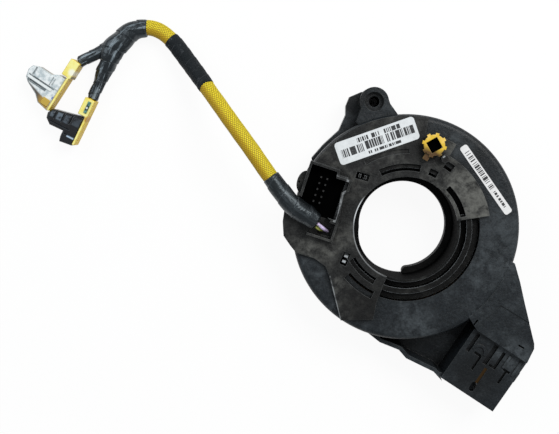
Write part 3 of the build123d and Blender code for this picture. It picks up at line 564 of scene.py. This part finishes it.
def plain_metal(name, colour, roughness):
    """Bare metal with fine scratches and a little tarnish."""
    finish = Finish(name, metallic=1.0)
    scratch = finish.noise(1800.0, 3.0, 0.6)
    tarnish = finish.noise(420.0, 4.0, 0.6).step(0.45, 0.75)
    base = finish.mixed(tarnish * 0.5, colour, shaded(colour, 0.45))
    dullness = scratch * 0.2 + tarnish * 0.15 + (roughness - 0.1)
    return finish.painted(base, dullness, scratch, 0.00003, 0.4, finish.rounded(0.00012))


def clear_film(name, colour, roughness):
    """Satin film with faint scuffs."""
    finish = Finish(name)
    scuff = finish.noise(900.0, 4.0, 0.6, stretch=(1.0, 0.12, 1.0))
    base = finish.mixed(scuff, shaded(colour, 0.8), colour)
    return finish.painted(base, scuff * 0.25 + (roughness - 0.1), scuff, 0.00002, 0.3)


def printed_label(name, centre, turn, rows, paper, ink):
    """Grey-white film with rows of plain dark bars, smudged and worn.

    Each row is (y low, y high, x start, x end, cell length, share that is ink), and a cell is
    inked where the white noise of its number is below that share.
    """
    finish = Finish(name, coat_weight=0.15, coat_roughness=0.25)
    x, y, _ = finish.local(centre, turn)
    bars = []
    for number, (low, high, start, end, cell, share) in enumerate(rows):
        column = (x / cell + number * 31.7).floor()
        chance = finish.node("ShaderNodeTexWhiteNoise", {"noise_dimensions": "1D"}, {"W": column})
        bars.append((chance < share) * (y > low) * (y < high) * (x > start) * (x < end))
    worn = finish.noise(1500.0, 4.0, 0.7).step(0.3, 0.45)
    cloud = finish.noise(160.0, 3.0)
    smudge = finish.noise(700.0, 5.0, 0.7).step(0.45, 0.7)
    soiled = shaded(paper, 0.55)
    film = finish.mixed(cloud, shaded(paper, 0.8), paper)
    film = finish.mixed(smudge * 0.28, film, soiled)
    film = finish.mixed(finish.edges(finish.rounded(0.0003)) * 0.4, film, soiled)
    base = finish.mixed(highest(bars) * (worn * 0.2 + 0.78), film, ink)
    return finish.painted(base, cloud * 0.2 + 0.3, finish.noise(500.0, 2.0), 0.00004, 0.3)


def woven_sleeve(name, colour, gap_shade):
    """Braided sleeve: bright strand crowns, brown painted shade between strands, fine thread
    lines.

    The side where the UV map's U is near one half lies away from the light and is painted in
    dull shade.
    """
    finish = Finish(name, specular_ior_level=0.35)
    height = finish.node("ShaderNodeAttribute", {"attribute_name": "weave"}, {}, "Fac")
    thread = finish.noise(3600.0, 2.0, 0.6)
    soil = finish.noise(170.0, 4.0, 0.65)
    # Painted shade in the gaps between strands
    base = finish.mixed(height.step(0.05, 0.75), gap_shade, colour)
    base = finish.mixed(thread.step(0.5, 0.7) * 0.3, base, shaded(colour, 0.7))
    base = finish.mixed(soil.step(0.48, 0.74) * 0.5, base, shaded(colour, 0.5))
    around = finish.parts(finish.node("ShaderNodeTexCoord", {}, {}, "UV"))[0]
    # Painted shade on the side turned from the light
    turned_away = 1.0 - (around - 0.5).absolute().step(0.18, 0.28)
    dull = (colour[0] * 0.42, colour[1] * 0.28, 0.006)
    base = finish.mixed(turned_away * (0.92 - height * 0.35), base, dull)
    return finish.painted(base, thread * 0.2 + 0.5, thread + height * 0.5, 0.0001, 0.5)


def wound_tape(name, colour, sheen, gloss, crown):
    """Black tape: gloss from 0 for cloth to 1 for vinyl, wrinkles, scuffs and painted highlights.

    Scuffs are lightened toward the sheen colour, partly worn and partly a painted sheen; lap
    edges and streaks along the top are painted highlights, the streaks scaled by the crown share.
    """
    finish = Finish(
        name, specular_ior_level=0.25 + 0.45 * gloss, specular_tint=(0.8, 0.92, 1.0, 1.0)
    )
    wrinkle = finish.noise(110.0, 2.0, 0.45, distortion=1.2)
    fine = finish.noise(1500.0, 4.0, 0.6)
    scuff = finish.noise(330.0, 4.0, 0.6).step(0.52, 0.74)
    lap = finish.node("ShaderNodeAttribute", {"attribute_name": "lap"}, {}, "Fac")
    # Scuffs lightened toward the sheen colour: partly worn, partly a painted sheen
    base = finish.mixed(scuff * (0.6 - 0.3 * gloss) * fine.step(0.42, 0.62), colour, sheen)
    # Painted highlight on the lap edges
    base = finish.mixed(lap.step(0.9, 1.0) * wrinkle.step(0.4, 0.6) * 0.5, base, sheen)
    around = finish.node("ShaderNodeTexCoord", {}, {}, "UV")
    streaks = finish.noise(1.0, 3.0, 0.55, at=around, stretch=(13.0, 60.0, 1.0), distortion=0.3)
    # Painted highlight: streaks along the top of the tape
    rubbed_highlight = finish.facing_up().step(0.78, 1.0) * streaks.step(0.5, 0.62)
    base = finish.mixed(rubbed_highlight * crown, base, shaded(sheen, 3.0))
    dullness = wrinkle * 0.16 + scuff * 0.12 + (0.6 - 0.36 * gloss)
    relief = wrinkle * (1.5 * gloss + 0.3) + fine * (0.5 - 0.488 * gloss)
    return finish.painted(base, dullness, relief, 0.0009, 0.8)


def make_finishes(colours):
    """One material for every slot of the record, keyed by the slot's name.

    A piece that departs from its slot has a material of its own, keyed by the node's name.
    """
    return {
        "housing_black": dusty_moulding(
            "housing_black", colours.housing, colours.dust, 0.40, 0.38, grain=0.5,
            # The first spot is partly a painted sheen on the cover's right, in the dust colour
            spots=((0.051, -0.009, 0.026, 0.28), (0.0535, -0.0625, 0.012, 0.4),
                   (0.004, -0.048, 0.016, 0.2), (0.0262, 0.0400, 0.009, 0.45)),
            # Painted shade by the ear and under a plate window; box top and cover by label made
            # darker
            shade_and_dark_spots=((0.036, -0.073, 0.018, 0.7), (-0.026, 0.064, 0.012, 0.85),
                    (-0.0215, -0.029, 0.008, 0.6), (0.036, 0.0415, 0.018, 0.55)),
            # Painted shade: black in the ear's hole
            shaded_pits=((*EAR_HOLE, (-0.0034, -0.0034), (0.0034, 0.0034), 0.0200),),
        ),
        "rotor_black": dusty_moulding(
            "rotor_black", shaded(colours.rotor, 0.88), colours.rotor_dust, 0.5, 0.48, edge=0.9,
            spots=((0.033, 0.016, 0.020, 0.8), (-0.043, -0.010, 0.014, 0.3),
                   (-0.028, -0.004, 0.009, 0.22), (0.0240, 0.0385, 0.010, 0.6)),
            # The guide post's own black; painted shade on the low wing and by the lock button; a
            # smudge
            shade_and_dark_spots=((0.0179, 0.0339, 0.0026, 0.95), (-0.020, -0.036, 0.018, 0.75),
                    (-0.0171, -0.036, 0.004, 0.7), (0.0030, 0.0395, 0.010, 0.75)),
            # Painted highlights on the socket's walls, the wing's edge and the guide post's top
            lines=(
                (*SOCKET, (0.0101, -0.0125), (0.0113, 0.0088), 0.85),
                (*SOCKET, (0.0048, 0.0088), (0.0108, 0.0097), 0.8),
                (*SOCKET, (-0.0084, -0.0170), (0.0102, -0.0163), 0.5),
                (*WING_EDGE, (-0.0114, -0.0004), (0.0114, 0.0002), 0.8),
                (*GUIDE_POST, (-0.0006, -0.0003), (0.0006, 0.0003), 1.6),
            ),
            # Painted highlights round the bore's edge
            rim_highlights=((BORE_RADIUS, -0.0238, 0.0090, 0.0085, 0.95),
                  (BORE_RADIUS, -0.0248, -0.0040, 0.013, 0.3),
                  (BORE_RADIUS, -0.0178, -0.0178, 0.014, 0.22)),
            # Painted shade: black inside the socket and the lock button's hole
            shaded_pits=(
                (*SOCKET, (-0.0083, -0.0124), (0.0102, 0.0084), 0.0322),
                (*SOCKET, (-0.0083, 0.0060), (0.0050, 0.0113), 0.0322),
                (*LOCK_BUTTON, (-0.0030, -0.0030), (0.0030, 0.0030), 0.0312),
            ),
        ),
        # The ring deep in the bore: a darker copy of the rotor black, as painted shade
        "rotor_rear_ring": dusty_moulding(
            "ring_black", shaded(colours.rotor, 0.15), colours.rotor_dust, 0.03, 0.6, edge=0.6,
            hollow_shade_reach=0.03, specular=0.15,
        ),
        # The drum: a darker copy of the rotor black as painted shade, light edges as painted
        # highlight,
        # its bore's wall painted black as shade, and its snap posts painted pale
        "rotor_drum": dusty_moulding(
            "drum_black", shaded(colours.rotor, 0.4), colours.rotor_dust, 0.2, 0.45, edge=1.5,
            edge_highlight_tone=(0.5, 0.54, 0.57), hollow_shade_reach=0.02, shaded_core=BORE_RADIUS, specular=0.16,
            spots=((*SNAP_POSTS[0], 0.005, 2.5),),
            lines=((*SNAP_POSTS, (-0.003, -0.003), (0.003, 0.003), 0.9),),
        ),
        "inner_plastic": clean_moulding("inner_plastic", (0.5, 0.5, 0.46), 0.5),
        "sheet_film": clear_film("sheet_film", (0.7, 0.7, 0.68), 0.35),
        # Darker than the real grey film: painted shade where it shows in the groove
        "flat_cable": clear_film("flat_cable", (0.16, 0.10, 0.05), 0.4),
        "tin_pin": plain_metal("tin_pin", (0.62, 0.61, 0.58), 0.32),
        "socket_pins": plain_metal("socket_pins", (0.05, 0.05, 0.05), 0.55),
        "copper_contact": plain_metal("copper_contact", (0.09, 0.052, 0.022), 0.28),
        "spring_steel": plain_metal("spring_steel", (0.55, 0.55, 0.54), 0.3),
        "label_paper": printed_label(
            "label_large_print", *LARGE_LABEL, LARGE_PRINT, colours.label, colours.ink
        ),
        "label_narrow": printed_label(
            "label_narrow_print", *NARROW_LABEL, NARROW_PRINT, shaded(colours.label, 1.15),
            colours.ink,
        ),
        "lock_yellow": lock_moulding("lock_yellow", colours.lock, LOCK_BUTTON[0]),
        "tape_black": wound_tape("tape_black", colours.tape, (0.07, 0.085, 0.095), 1.0, 0.9),
        "middle_wrap": wound_tape(
            "tape_cloth", (0.007, 0.0085, 0.010), (0.11, 0.12, 0.13), 0.0, 0.0
        ),
        "boot_wrap": wound_tape(
            "tape_boot", shaded(colours.tape, 0.85), (0.037, 0.045, 0.051), 0.85, 0.2
        ),
        "braid_yellow": woven_sleeve("braid_yellow", colours.braid, (0.27, 0.16, 0.008)),
        "lead_insulation": two_leads("lead_insulation", (0.62, 0.52, 0.78), (0.5, 0.55, 0.12)),
        "plug_yellow": yellow_cover(
            "plug_yellow", colours.plug_yellow, (0.88, 0.60, 0.02),
            (
                # The first mark is a painted highlight
                (-0.1650, 0.0756, 0.0024, (0.99, 0.99, 0.86)),
                (-0.1649, 0.0726, 0.0013, (0.02, 0.02, 0.012)),
                (-0.1579, 0.0522, 0.0022, (0.6, 0.3, 0.02)),
                (-0.1593, 0.0465, 0.0018, (0.6, 0.32, 0.03)),
            ),
        ),
        "plug_grey": pale_plug("plug_grey", (0.86, 0.91, 0.92), (0.52, 0.6, 0.63), *PALE_PLUG),
        "plug_black": ribbed_plug(
            "plug_black", (0.008, 0.009, 0.012), (0.20, 0.26, 0.32), *BLACK_PLUG
        ),
        "latch_amber": clean_moulding("latch_amber", (0.66, 0.45, 0.07), 0.35),
        "latch_teal": marked_latch(
            "latch_teal", (0.16, 0.38, 0.33), (0.012, 0.03, 0.025), BLACK_PLUG_LATCH
        ),
    }


# Surfaces


def grid_mesh(name, points, along=None):
    """Mesh of a grid of points (rows, columns, 3).

    With each row's distance along the piece it is a tube, joined round the rows and capped.
    The UV map holds the column's share of the row, and that distance or the row's number.
    """
    rows, columns = points.shape[:2]
    tube = along is not None
    last = columns if tube else columns - 1
    i, j = np.meshgrid(np.arange(rows - 1), np.arange(last), indexing="ij")
    k = (j + 1) % columns
    quads = np.stack([i * columns + j, i * columns + k, (i + 1) * columns + k,
                      (i + 1) * columns + j], -1).reshape(-1, 4)
    vertices = points.reshape(-1, 3)
    along = along if tube else np.arange(rows)
    u = np.stack([j, j + 1, j + 1, j], -1) / last
    v = np.stack([along[i], along[i], along[i + 1], along[i + 1]], -1)
    faces = quads.tolist()
    uv = np.stack([u, v], -1).reshape(-1, 2)
    if tube:
        ring = np.arange(columns)
        head, tail = len(vertices), len(vertices) + 1
        vertices = np.vstack([vertices, points[0].mean(0), points[-1].mean(0)])
        first = np.stack([np.full(columns, head), (ring + 1) % columns, ring], -1)
        end = np.stack(
            [np.full(columns, tail), (rows - 1) * columns + ring,
             (rows - 1) * columns + (ring + 1) % columns], -1
        )
        faces += first.tolist() + end.tolist()
        uv = np.vstack([uv, np.zeros((6 * columns, 2))])
    mesh = bpy.data.meshes.new(name)
    mesh.from_pydata(vertices.tolist(), [], faces, shade_flat=False)
    layer = mesh.uv_layers.new(name="UVMap")
    layer.data.foreach_set("uv", uv.ravel().astype(np.float32))
    mesh.update()
    return mesh


def points_of(mesh):
    """Places of a mesh's vertices, as rows of an array."""
    co = np.zeros(len(mesh.vertices) * 3)
    mesh.vertices.foreach_get("co", co)
    return co.reshape(-1, 3)


def outward(mesh):
    """Turns a closed mesh's faces over if the volume that they enclose comes out negative."""
    mesh.calc_loop_triangles()
    triangles = np.zeros(len(mesh.loop_triangles) * 3, int)
    mesh.loop_triangles.foreach_get("vertices", triangles)
    a, b, c = np.moveaxis(points_of(mesh)[triangles.reshape(-1, 3)], 1, 0)
    if np.einsum("ij,ij->", a, np.cross(b, c)) < 0:
        mesh.flip_normals()
    return mesh


def per_vertex(mesh, name, values):
    """Stores one number per vertex, padded for the two cap points."""
    flat = np.asarray(values, np.float32).ravel()
    flat = np.append(flat, np.zeros(len(mesh.vertices) - len(flat), np.float32))
    mesh.attributes.new(name, "FLOAT", "POINT").data.foreach_set("value", flat)


def placed(data):
    """New object in the scene for a mesh, lamp or camera, with its name."""
    made = bpy.data.objects.new(data.name, data)
    bpy.context.scene.collection.objects.link(made)
    return made


def piece(mesh, body, material):
    """Object for a finished mesh that rides on a CAD body and takes one finish."""
    made = placed(mesh)
    mesh.materials.append(material)
    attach(made, body)
    return made


def smooth_line(points):
    """Points along a NURBS spline of order 3 whose control points are the route's points."""
    curve = bpy.data.curves.new("route", "CURVE")
    curve.dimensions = "3D"
    spline = curve.splines.new("NURBS")
    spline.points.add(len(points) - 1)
    spline.points.foreach_set("co", np.c_[np.array(points), np.ones(len(points))].ravel())
    spline.order_u = 3
    spline.use_endpoint_u = True
    spline.resolution_u = 24
    holder = bpy.data.objects.new("route", curve)
    mesh = bpy.data.meshes.new_from_object(holder)
    line = points_of(mesh)
    bpy.data.objects.remove(holder)
    bpy.data.meshes.remove(mesh)
    bpy.data.curves.remove(curve)
    return line


def distances(line):
    """Distance of each point of a line from its start, along the line."""
    return np.append(0.0, np.cumsum(np.linalg.norm(np.diff(line, axis=0), axis=1)))


def stretch_of(line, start, end, step):
    """Evenly spaced stations of a line between two distances, with those distances."""
    run = distances(line)
    at = np.linspace(start, end, int((end - start) / step))
    return np.stack([np.interp(at, run, line[:, axis]) for axis in range(3)], -1), at


def full_turn(sides):
    """Evenly spaced angles round a turn, without its end."""
    return np.linspace(0, 2 * np.pi, sides + 1)[:-1]


def tube_points(stations, radius, angles, squash=1.0):
    """Tube round a line: station + radius(s, a) * (cos a * side + sin a * up).

    Side is the line's direction crossed with Z, and up is side crossed with the direction.
    The up share may be squashed, as in tape that is pressed flat, by one share or one a station.
    """
    direction = np.gradient(stations, axis=0)
    direction /= np.linalg.norm(direction, axis=1, keepdims=True)
    side = np.cross(direction, (0.0, 0.0, 1.0))
    side /= np.linalg.norm(side, axis=1, keepdims=True)
    up = np.cross(side, direction)
    across, upward = np.cos(angles)[None], np.sin(angles)[None] * np.reshape(squash, (-1, 1))
    reach = radius[..., None]
    return stations[:, None] + reach * (
        across[..., None] * side[:, None] + upward[..., None] * up[:, None]
    )


def braid_height(angles, at, strands, pitch):
    """Height of two crossing sets of strands, from 0 in the gaps to 1 on the crowns.

    The sets are cosines of strands * a + k * s and strands * a - k * s, with k = 2 pi / pitch.
    Which set lies on top alternates like a chessboard, by sin(strands * a) * sin(k * s).
    """
    a = strands * angles[None]
    s = 2 * np.pi * at[:, None] / pitch
    over = 0.5 + 0.5 * np.tanh(5 * np.sin(a) * np.sin(s))
    left = 0.5 + 0.5 * np.cos(a + s)
    right = 0.5 + 0.5 * np.cos(a - s)
    return over * left**0.7 + (1 - over) * right**0.7


def lap_height(angles, at, pitch, phase):
    """Helical laps of a tape: the fraction of (s / pitch + a / 2 pi), from 0 to 1 over a lap."""
    return np.mod(at[:, None] / pitch + angles[None] / (2 * np.pi) + phase, 1.0)


def creases(angles, at, seed):
    """Soft uneven swelling, near -1 to 1: a sum of sines in a and s.

    Their waves round the turn, runs along the line and phases come from the seed.
    """
    chance = np.random.default_rng(seed)
    count = 9
    waves = chance.integers(1, 5, count)
    runs = chance.uniform(90.0, 620.0, count)
    phases = chance.uniform(0, 2 * np.pi, count)
    a, s = angles[None, :, None], at[:, None, None]
    return np.sin(waves * a + runs * s + phases).sum(-1) / (count / 2)


def taped_stretch(name, line, start, end, radius, lap, lap_step, swell, seed, squash=1.0):
    """Tape wound round a line between two distances.

    Radius = base + lap step * lap fraction + swell * creases, drawn in at both ends. The base
    and the squash are one number each, or places along the line with the values there.
    """
    drawn_in, drawn_over = 0.0006, 0.0007
    stations, at = stretch_of(line, start, end, TAPE_STEP)
    angles = full_turn(TAPE_SIDES)
    laps = lap_height(angles, at, lap, seed * 0.37)
    base = np.interp(at, *radius) if isinstance(radius, tuple) else np.full(len(at), radius)
    r = base[:, None] + lap_step * laps + swell * creases(angles, at, seed)
    inset = np.minimum(at - at[0], at[-1] - at)
    r = r - drawn_in * np.clip(1 - inset / drawn_over, 0, 1)[:, None] ** 2
    flat = np.interp(at, *squash) if isinstance(squash, tuple) else squash
    around = tube_points(stations, r, angles, flat)
    mesh = outward(grid_mesh(name, around, at))
    per_vertex(mesh, "lap", laps)
    return mesh


# Settings


def length_setting(name, description, default):
    """A length in the panel."""
    return FloatProperty(
        name=name, description=description, default=default, unit="LENGTH", precision=5
    )


def colour_setting(name, description, default):
    """A colour in the panel."""
    return FloatVectorProperty(
        name=name, description=description, default=default, subtype="COLOR"
    )


class HarnessSizes(bpy.types.PropertyGroup):
    braid_radius: length_setting("Braid Radius", "Radius of the braided sleeve", 0.0038)
    braid_strands: IntProperty(
        name="Strands", description="Strands of the braid each way round", default=20
    )
    braid_pitch: length_setting("Braid Pitch", "Length of sleeve between crossings", 0.0016)
    tape_radius: length_setting("Tape Radius", "Radius of the taped stretches", 0.0041)
    boot_radius: length_setting("Boot Radius", "Radius of the thick wrap at the outlet", 0.0044)
    branch_radius: length_setting("Branch Radius", "Radius of a branch behind its plug", 0.0026)
    tape_lap: length_setting("Tape Lap", "Distance between two edges of the wound tape", 0.0062)


class FinishColours(bpy.types.PropertyGroup):
    housing: colour_setting("Housing", "Plastic of the case and cover", (0.011, 0.0145, 0.0175))
    dust: colour_setting("Dust", "Dust on the housing", (0.10, 0.118, 0.13))
    rotor: colour_setting("Rotor", "Plastic of the turning parts", (0.0095, 0.0102, 0.0104))
    rotor_dust: colour_setting("Rotor Dust", "Dust on the turning parts", (0.15, 0.152, 0.14))
    label: colour_setting("Label", "Film of the labels", (0.88, 0.92, 0.94))
    ink: colour_setting("Ink", "Bars on the labels", (0.012, 0.013, 0.015))
    lock: colour_setting("Lock Button", "Plastic of the lock button", (0.8, 0.53, 0.04))
    tape: colour_setting("Tape", "Tape of the harness", (0.006, 0.0075, 0.009))
    braid: colour_setting("Braid", "Braided sleeve of the harness", (1.0, 0.83, 0.02))
    plug_yellow: colour_setting("Plug Yellow", "Covers of the airbag plugs", (0.98, 0.93, 0.36))


class StageSettings(bpy.types.PropertyGroup):
    lens: FloatProperty(
        name="Lens", description="Focal length on a 36 mm sensor", default=66.72,
        subtype="DISTANCE_CAMERA",
    )
    camera_place: FloatVectorProperty(
        name="Camera Place", description="Where the camera stands", subtype="TRANSLATION",
        default=(-0.0439, 0.053, 0.526),
    )
    camera_aim: FloatVectorProperty(
        name="Camera Aim", description="Point in the middle of the picture",
        subtype="TRANSLATION", default=(-0.061, 0.0053, 0.026),
    )
    key_power: FloatProperty(
        name="Key Power", description="Power of the large lamp above", default=2.95,
        subtype="POWER",
    )
    fill_strength: FloatProperty(
        name="Fill Strength", description="Strength of the surroundings", default=0.36,
    )


# Operators

# Finished materials by slot or piece, which the first operator fills
materials = {}


class CLOCKSPRING_OT_finishes(bpy.types.Operator):
    """Give every CAD piece its procedural finish"""

    bl_idname = "clockspring.finishes"
    bl_label = "Finishes"

    def execute(self, context):
        materials.update(make_finishes(context.scene.clockspring_colours))
        for part in frame["record"]["subparts"]:
            name = part["node"]
            material = materials.get(name) or materials[part["material_slot"]]
            node = frame["nodes"][name]
            if not node.material_slots:
                node.data.materials.append(material)
            for slot in node.material_slots:
                slot.material = material
        return {"FINISHED"}


class CLOCKSPRING_OT_harness(bpy.types.Operator):
    """Lay the braided and taped harness along its route to both plugs"""

    bl_idname = "clockspring.harness"
    bl_label = "Harness"

    def execute(self, context):
        sizes = context.scene.clockspring_harness
        line = smooth_line(HARNESS_ROUTE + BRANCH_B_ROUTE)
        total = distances(line)[-1]
        stations, at = stretch_of(line, 0.0, total, SLEEVE_STEP)
        angles = full_turn(SLEEVE_SIDES)
        height = braid_height(angles, at, sizes.braid_strands, sizes.braid_pitch)
        lap, boot, tape = sizes.tape_lap, sizes.boot_radius, sizes.tape_radius
        braid, leg = sizes.braid_radius, sizes.branch_radius
        # Under the tapes the sleeve is thinner than they are
        in_boot, in_fork, in_leg = 0.0030, 0.0031, leg - 0.0007
        base = np.interp(
            at,
            [0, BOOT_END - 0.003, BOOT_END + 0.002, FORK_TAPE_START, FORK_TAPE_START + 0.004,
             FORK - 0.004, total],
            [in_boot, 0.0034, braid, braid, in_fork, in_leg, in_leg],
        )
        weave, unevenness = 0.00016, 0.00006
        r = base[:, None] + weave * (height - 0.4) + unevenness * creases(angles, at, 5)
        around = tube_points(stations, r, angles)
        mesh = outward(grid_mesh("harness_sleeve", around, at))
        per_vertex(mesh, "weave", height)
        sleeve = piece(mesh, "rotor", materials["braid_yellow"])
        other = smooth_line(HARNESS_ROUTE[-3:-1] + BRANCH_A_ROUTE)
        meshes = [
            taped_stretch(
                "boot_wrap", line, 0.0, BOOT_END + 0.001,
                ([0, 0.005, 0.012, 0.019, BOOT_END + 0.001],
                 [boot * 0.86, boot * 1.06, boot * 1.13, boot * 1.02, braid + 0.0003]),
                lap=lap * 1.3, lap_step=0.0003, swell=0.00036, seed=3,
            ),
            taped_stretch(
                "middle_wrap", line, TAPE_START, TAPE_END, tape,
                lap=lap, lap_step=0.00016, swell=0.00014, seed=8,
            ),
            taped_stretch(
                "fork_wrap", line, FORK_TAPE_START, FORK + 0.005,
                ([FORK_TAPE_START, FORK_TAPE_START + 0.007, FORK - 0.005, FORK + 0.001,
                  FORK + 0.006],
                 [braid + 0.0003, 0.0046, 0.0055, 0.0057, 0.0046]),
                lap=lap * 1.5, lap_step=0.00042, swell=0.00042, seed=11,
                squash=([FORK_TAPE_START, FORK_TAPE_START + 0.006, FORK], [1.0, 0.96, 0.8]),
            ),
            taped_stretch(
                "branch_b_wrap", line, FORK - 0.002, total - 0.001,
                ([FORK - 0.002, FORK + 0.005, FORK + 0.010, FORK + 0.017, total],
                 [0.0044, 0.0044, 0.0038, 0.0028, leg]),
                lap=lap, lap_step=0.0003, swell=0.00034, seed=21, squash=0.88,
            ),
            taped_stretch(
                "branch_a_wrap", other, 0.006, distances(other)[-1] - 0.001,
                ([0.006, 0.014, 0.020, 0.03], [0.0036, 0.0035, leg + 0.0002, leg]),
                lap=lap, lap_step=0.00026, swell=0.00030, seed=17, squash=0.95,
            ),
        ]
        wraps = [
            piece(wrap, "rotor", materials.get(wrap.name, materials["tape_black"]))
            for wrap in meshes
        ]
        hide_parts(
            "harness_boot", "harness_braid_long", "harness_tape",
            "harness_braid_bend", "harness_split_tape", "branch_a", "branch_b",
        )
        return {"FINISHED"}


class CLOCKSPRING_OT_stage(bpy.types.Operator):
    """Set up the pale floor, the soft lamps and the camera"""

    bl_idname = "clockspring.stage"
    bl_label = "Stage"

    def execute(self, context):
        settings = context.scene.clockspring_stage
        scene = context.scene
        scene.view_settings.view_transform = "Standard"
        floor = self.floor()
        self.surroundings(scene, settings.fill_strength)
        aim = Vector(settings.camera_aim)
        for name, place, share, colour in LAMPS:
            lamp = bpy.data.lights.new(name, "AREA")
            lamp.size = LAMP_SIZE
            lamp.energy = settings.key_power * share
            lamp.color = colour
            holder = placed(lamp)
            holder.location = place
            holder.rotation_euler = (aim - Vector(place)).to_track_quat("-Z", "Y").to_euler()
        camera = bpy.data.cameras.new("camera")
        camera.lens = settings.lens
        camera.sensor_width = 36.0
        camera.clip_start = 0.01
        camera.clip_end = 20.0
        holder = placed(camera)
        place = Vector(settings.camera_place)
        back = (place - aim).normalized()
        right = Vector((0, 1, 0)).cross(back).normalized()
        turned = Matrix((right, back.cross(right), back)).transposed()
        holder.matrix_world = Matrix.Translation(place) @ turned.to_4x4()
        scene.camera = holder
        return {"FINISHED"}

    def floor(self):
        """Flat square grid just under the part.

        To camera, glossy and transmission rays its material glows white, apart from two small
        spots at the foot of the ear and of the case's lobe, where the part's own shadow shows.
        """
        side = np.linspace(-FLOOR_REACH, FLOOR_REACH, 9)
        x, y = np.meshgrid(side, side)
        points = np.stack([x, y, np.full_like(x, FLOOR_HEIGHT)], -1)
        mesh = grid_mesh("floor", points)
        finish = Finish("floor_paper")
        cloud = finish.noise(30.0)
        finish.feed("Base Color", finish.mixed(cloud, (0.5, 0.5, 0.5), (0.54, 0.54, 0.54)))
        finish.feed("Roughness", cloud * 0.1 + 0.8)
        rays = [
            finish.node("ShaderNodeLightPath", {}, {}, name)
            for name in ("Is Camera Ray", "Is Glossy Ray", "Is Transmission Ray")
        ]
        glow = finish.node("ShaderNodeEmission", {}, {"Color": (1.0, 1.0, 1.0), "Strength": 1.08})
        spots = finish.near(*EAR_HOLE[0], 0.0075) + finish.near(*CASE_LOBE, 0.0011)
        share = ((rays[0] + rays[1] + rays[2]) * 0.86).clamped() * (1.0 - spots.step(0.0, 0.3))
        finish.covered(share, glow)
        mesh.materials.append(finish.material)
        return placed(mesh)

    def surroundings(self, scene, strength):
        """Even, slightly cool light from all sides."""
        world = bpy.data.worlds.new("surroundings")
        world.use_nodes = True
        background = world.node_tree.nodes["Background"]
        background.inputs["Color"].default_value = (0.94, 0.97, 1.0, 1.0)
        background.inputs["Strength"].default_value = strength
        scene.world = world


class CLOCKSPRING_PT_panel(bpy.types.Panel):
    """Sidebar panel with the settings and a button for each group of pieces"""

    bl_idname = "CLOCKSPRING_PT_panel"
    bl_label = "Clock Spring"
    bl_space_type = "VIEW_3D"
    bl_region_type = "UI"
    bl_category = "Clock Spring"

    def draw(self, context):
        for place in GROUPS:
            group = getattr(context.scene, place)
            box = self.layout.box()
            for name in group.bl_rna.properties.keys():
                if name not in ("rna_type", "name"):
                    box.prop(group, name)
        for operator in OPERATORS:
            self.layout.operator(operator.bl_idname)


OPERATORS = (CLOCKSPRING_OT_finishes, CLOCKSPRING_OT_harness, CLOCKSPRING_OT_stage)
GROUPS = {
    "clockspring_colours": FinishColours,
    "clockspring_harness": HarnessSizes,
    "clockspring_stage": StageSettings,
}


def register():
    for made in (*GROUPS.values(), *OPERATORS, CLOCKSPRING_PT_panel):
        bpy.utils.register_class(made)
    for name, group in GROUPS.items():
        setattr(bpy.types.Scene, name, PointerProperty(type=group))


def unregister():
    for name in GROUPS:
        delattr(bpy.types.Scene, name)
    for made in (CLOCKSPRING_PT_panel, *reversed(OPERATORS), *GROUPS.values()):
        bpy.utils.unregister_class(made)


def main():
    """Runs every operator in order."""
    register()
    bpy.ops.clockspring.finishes()
    bpy.ops.clockspring.harness()
    bpy.ops.clockspring.stage()


if __name__ == "__main__":
    main()
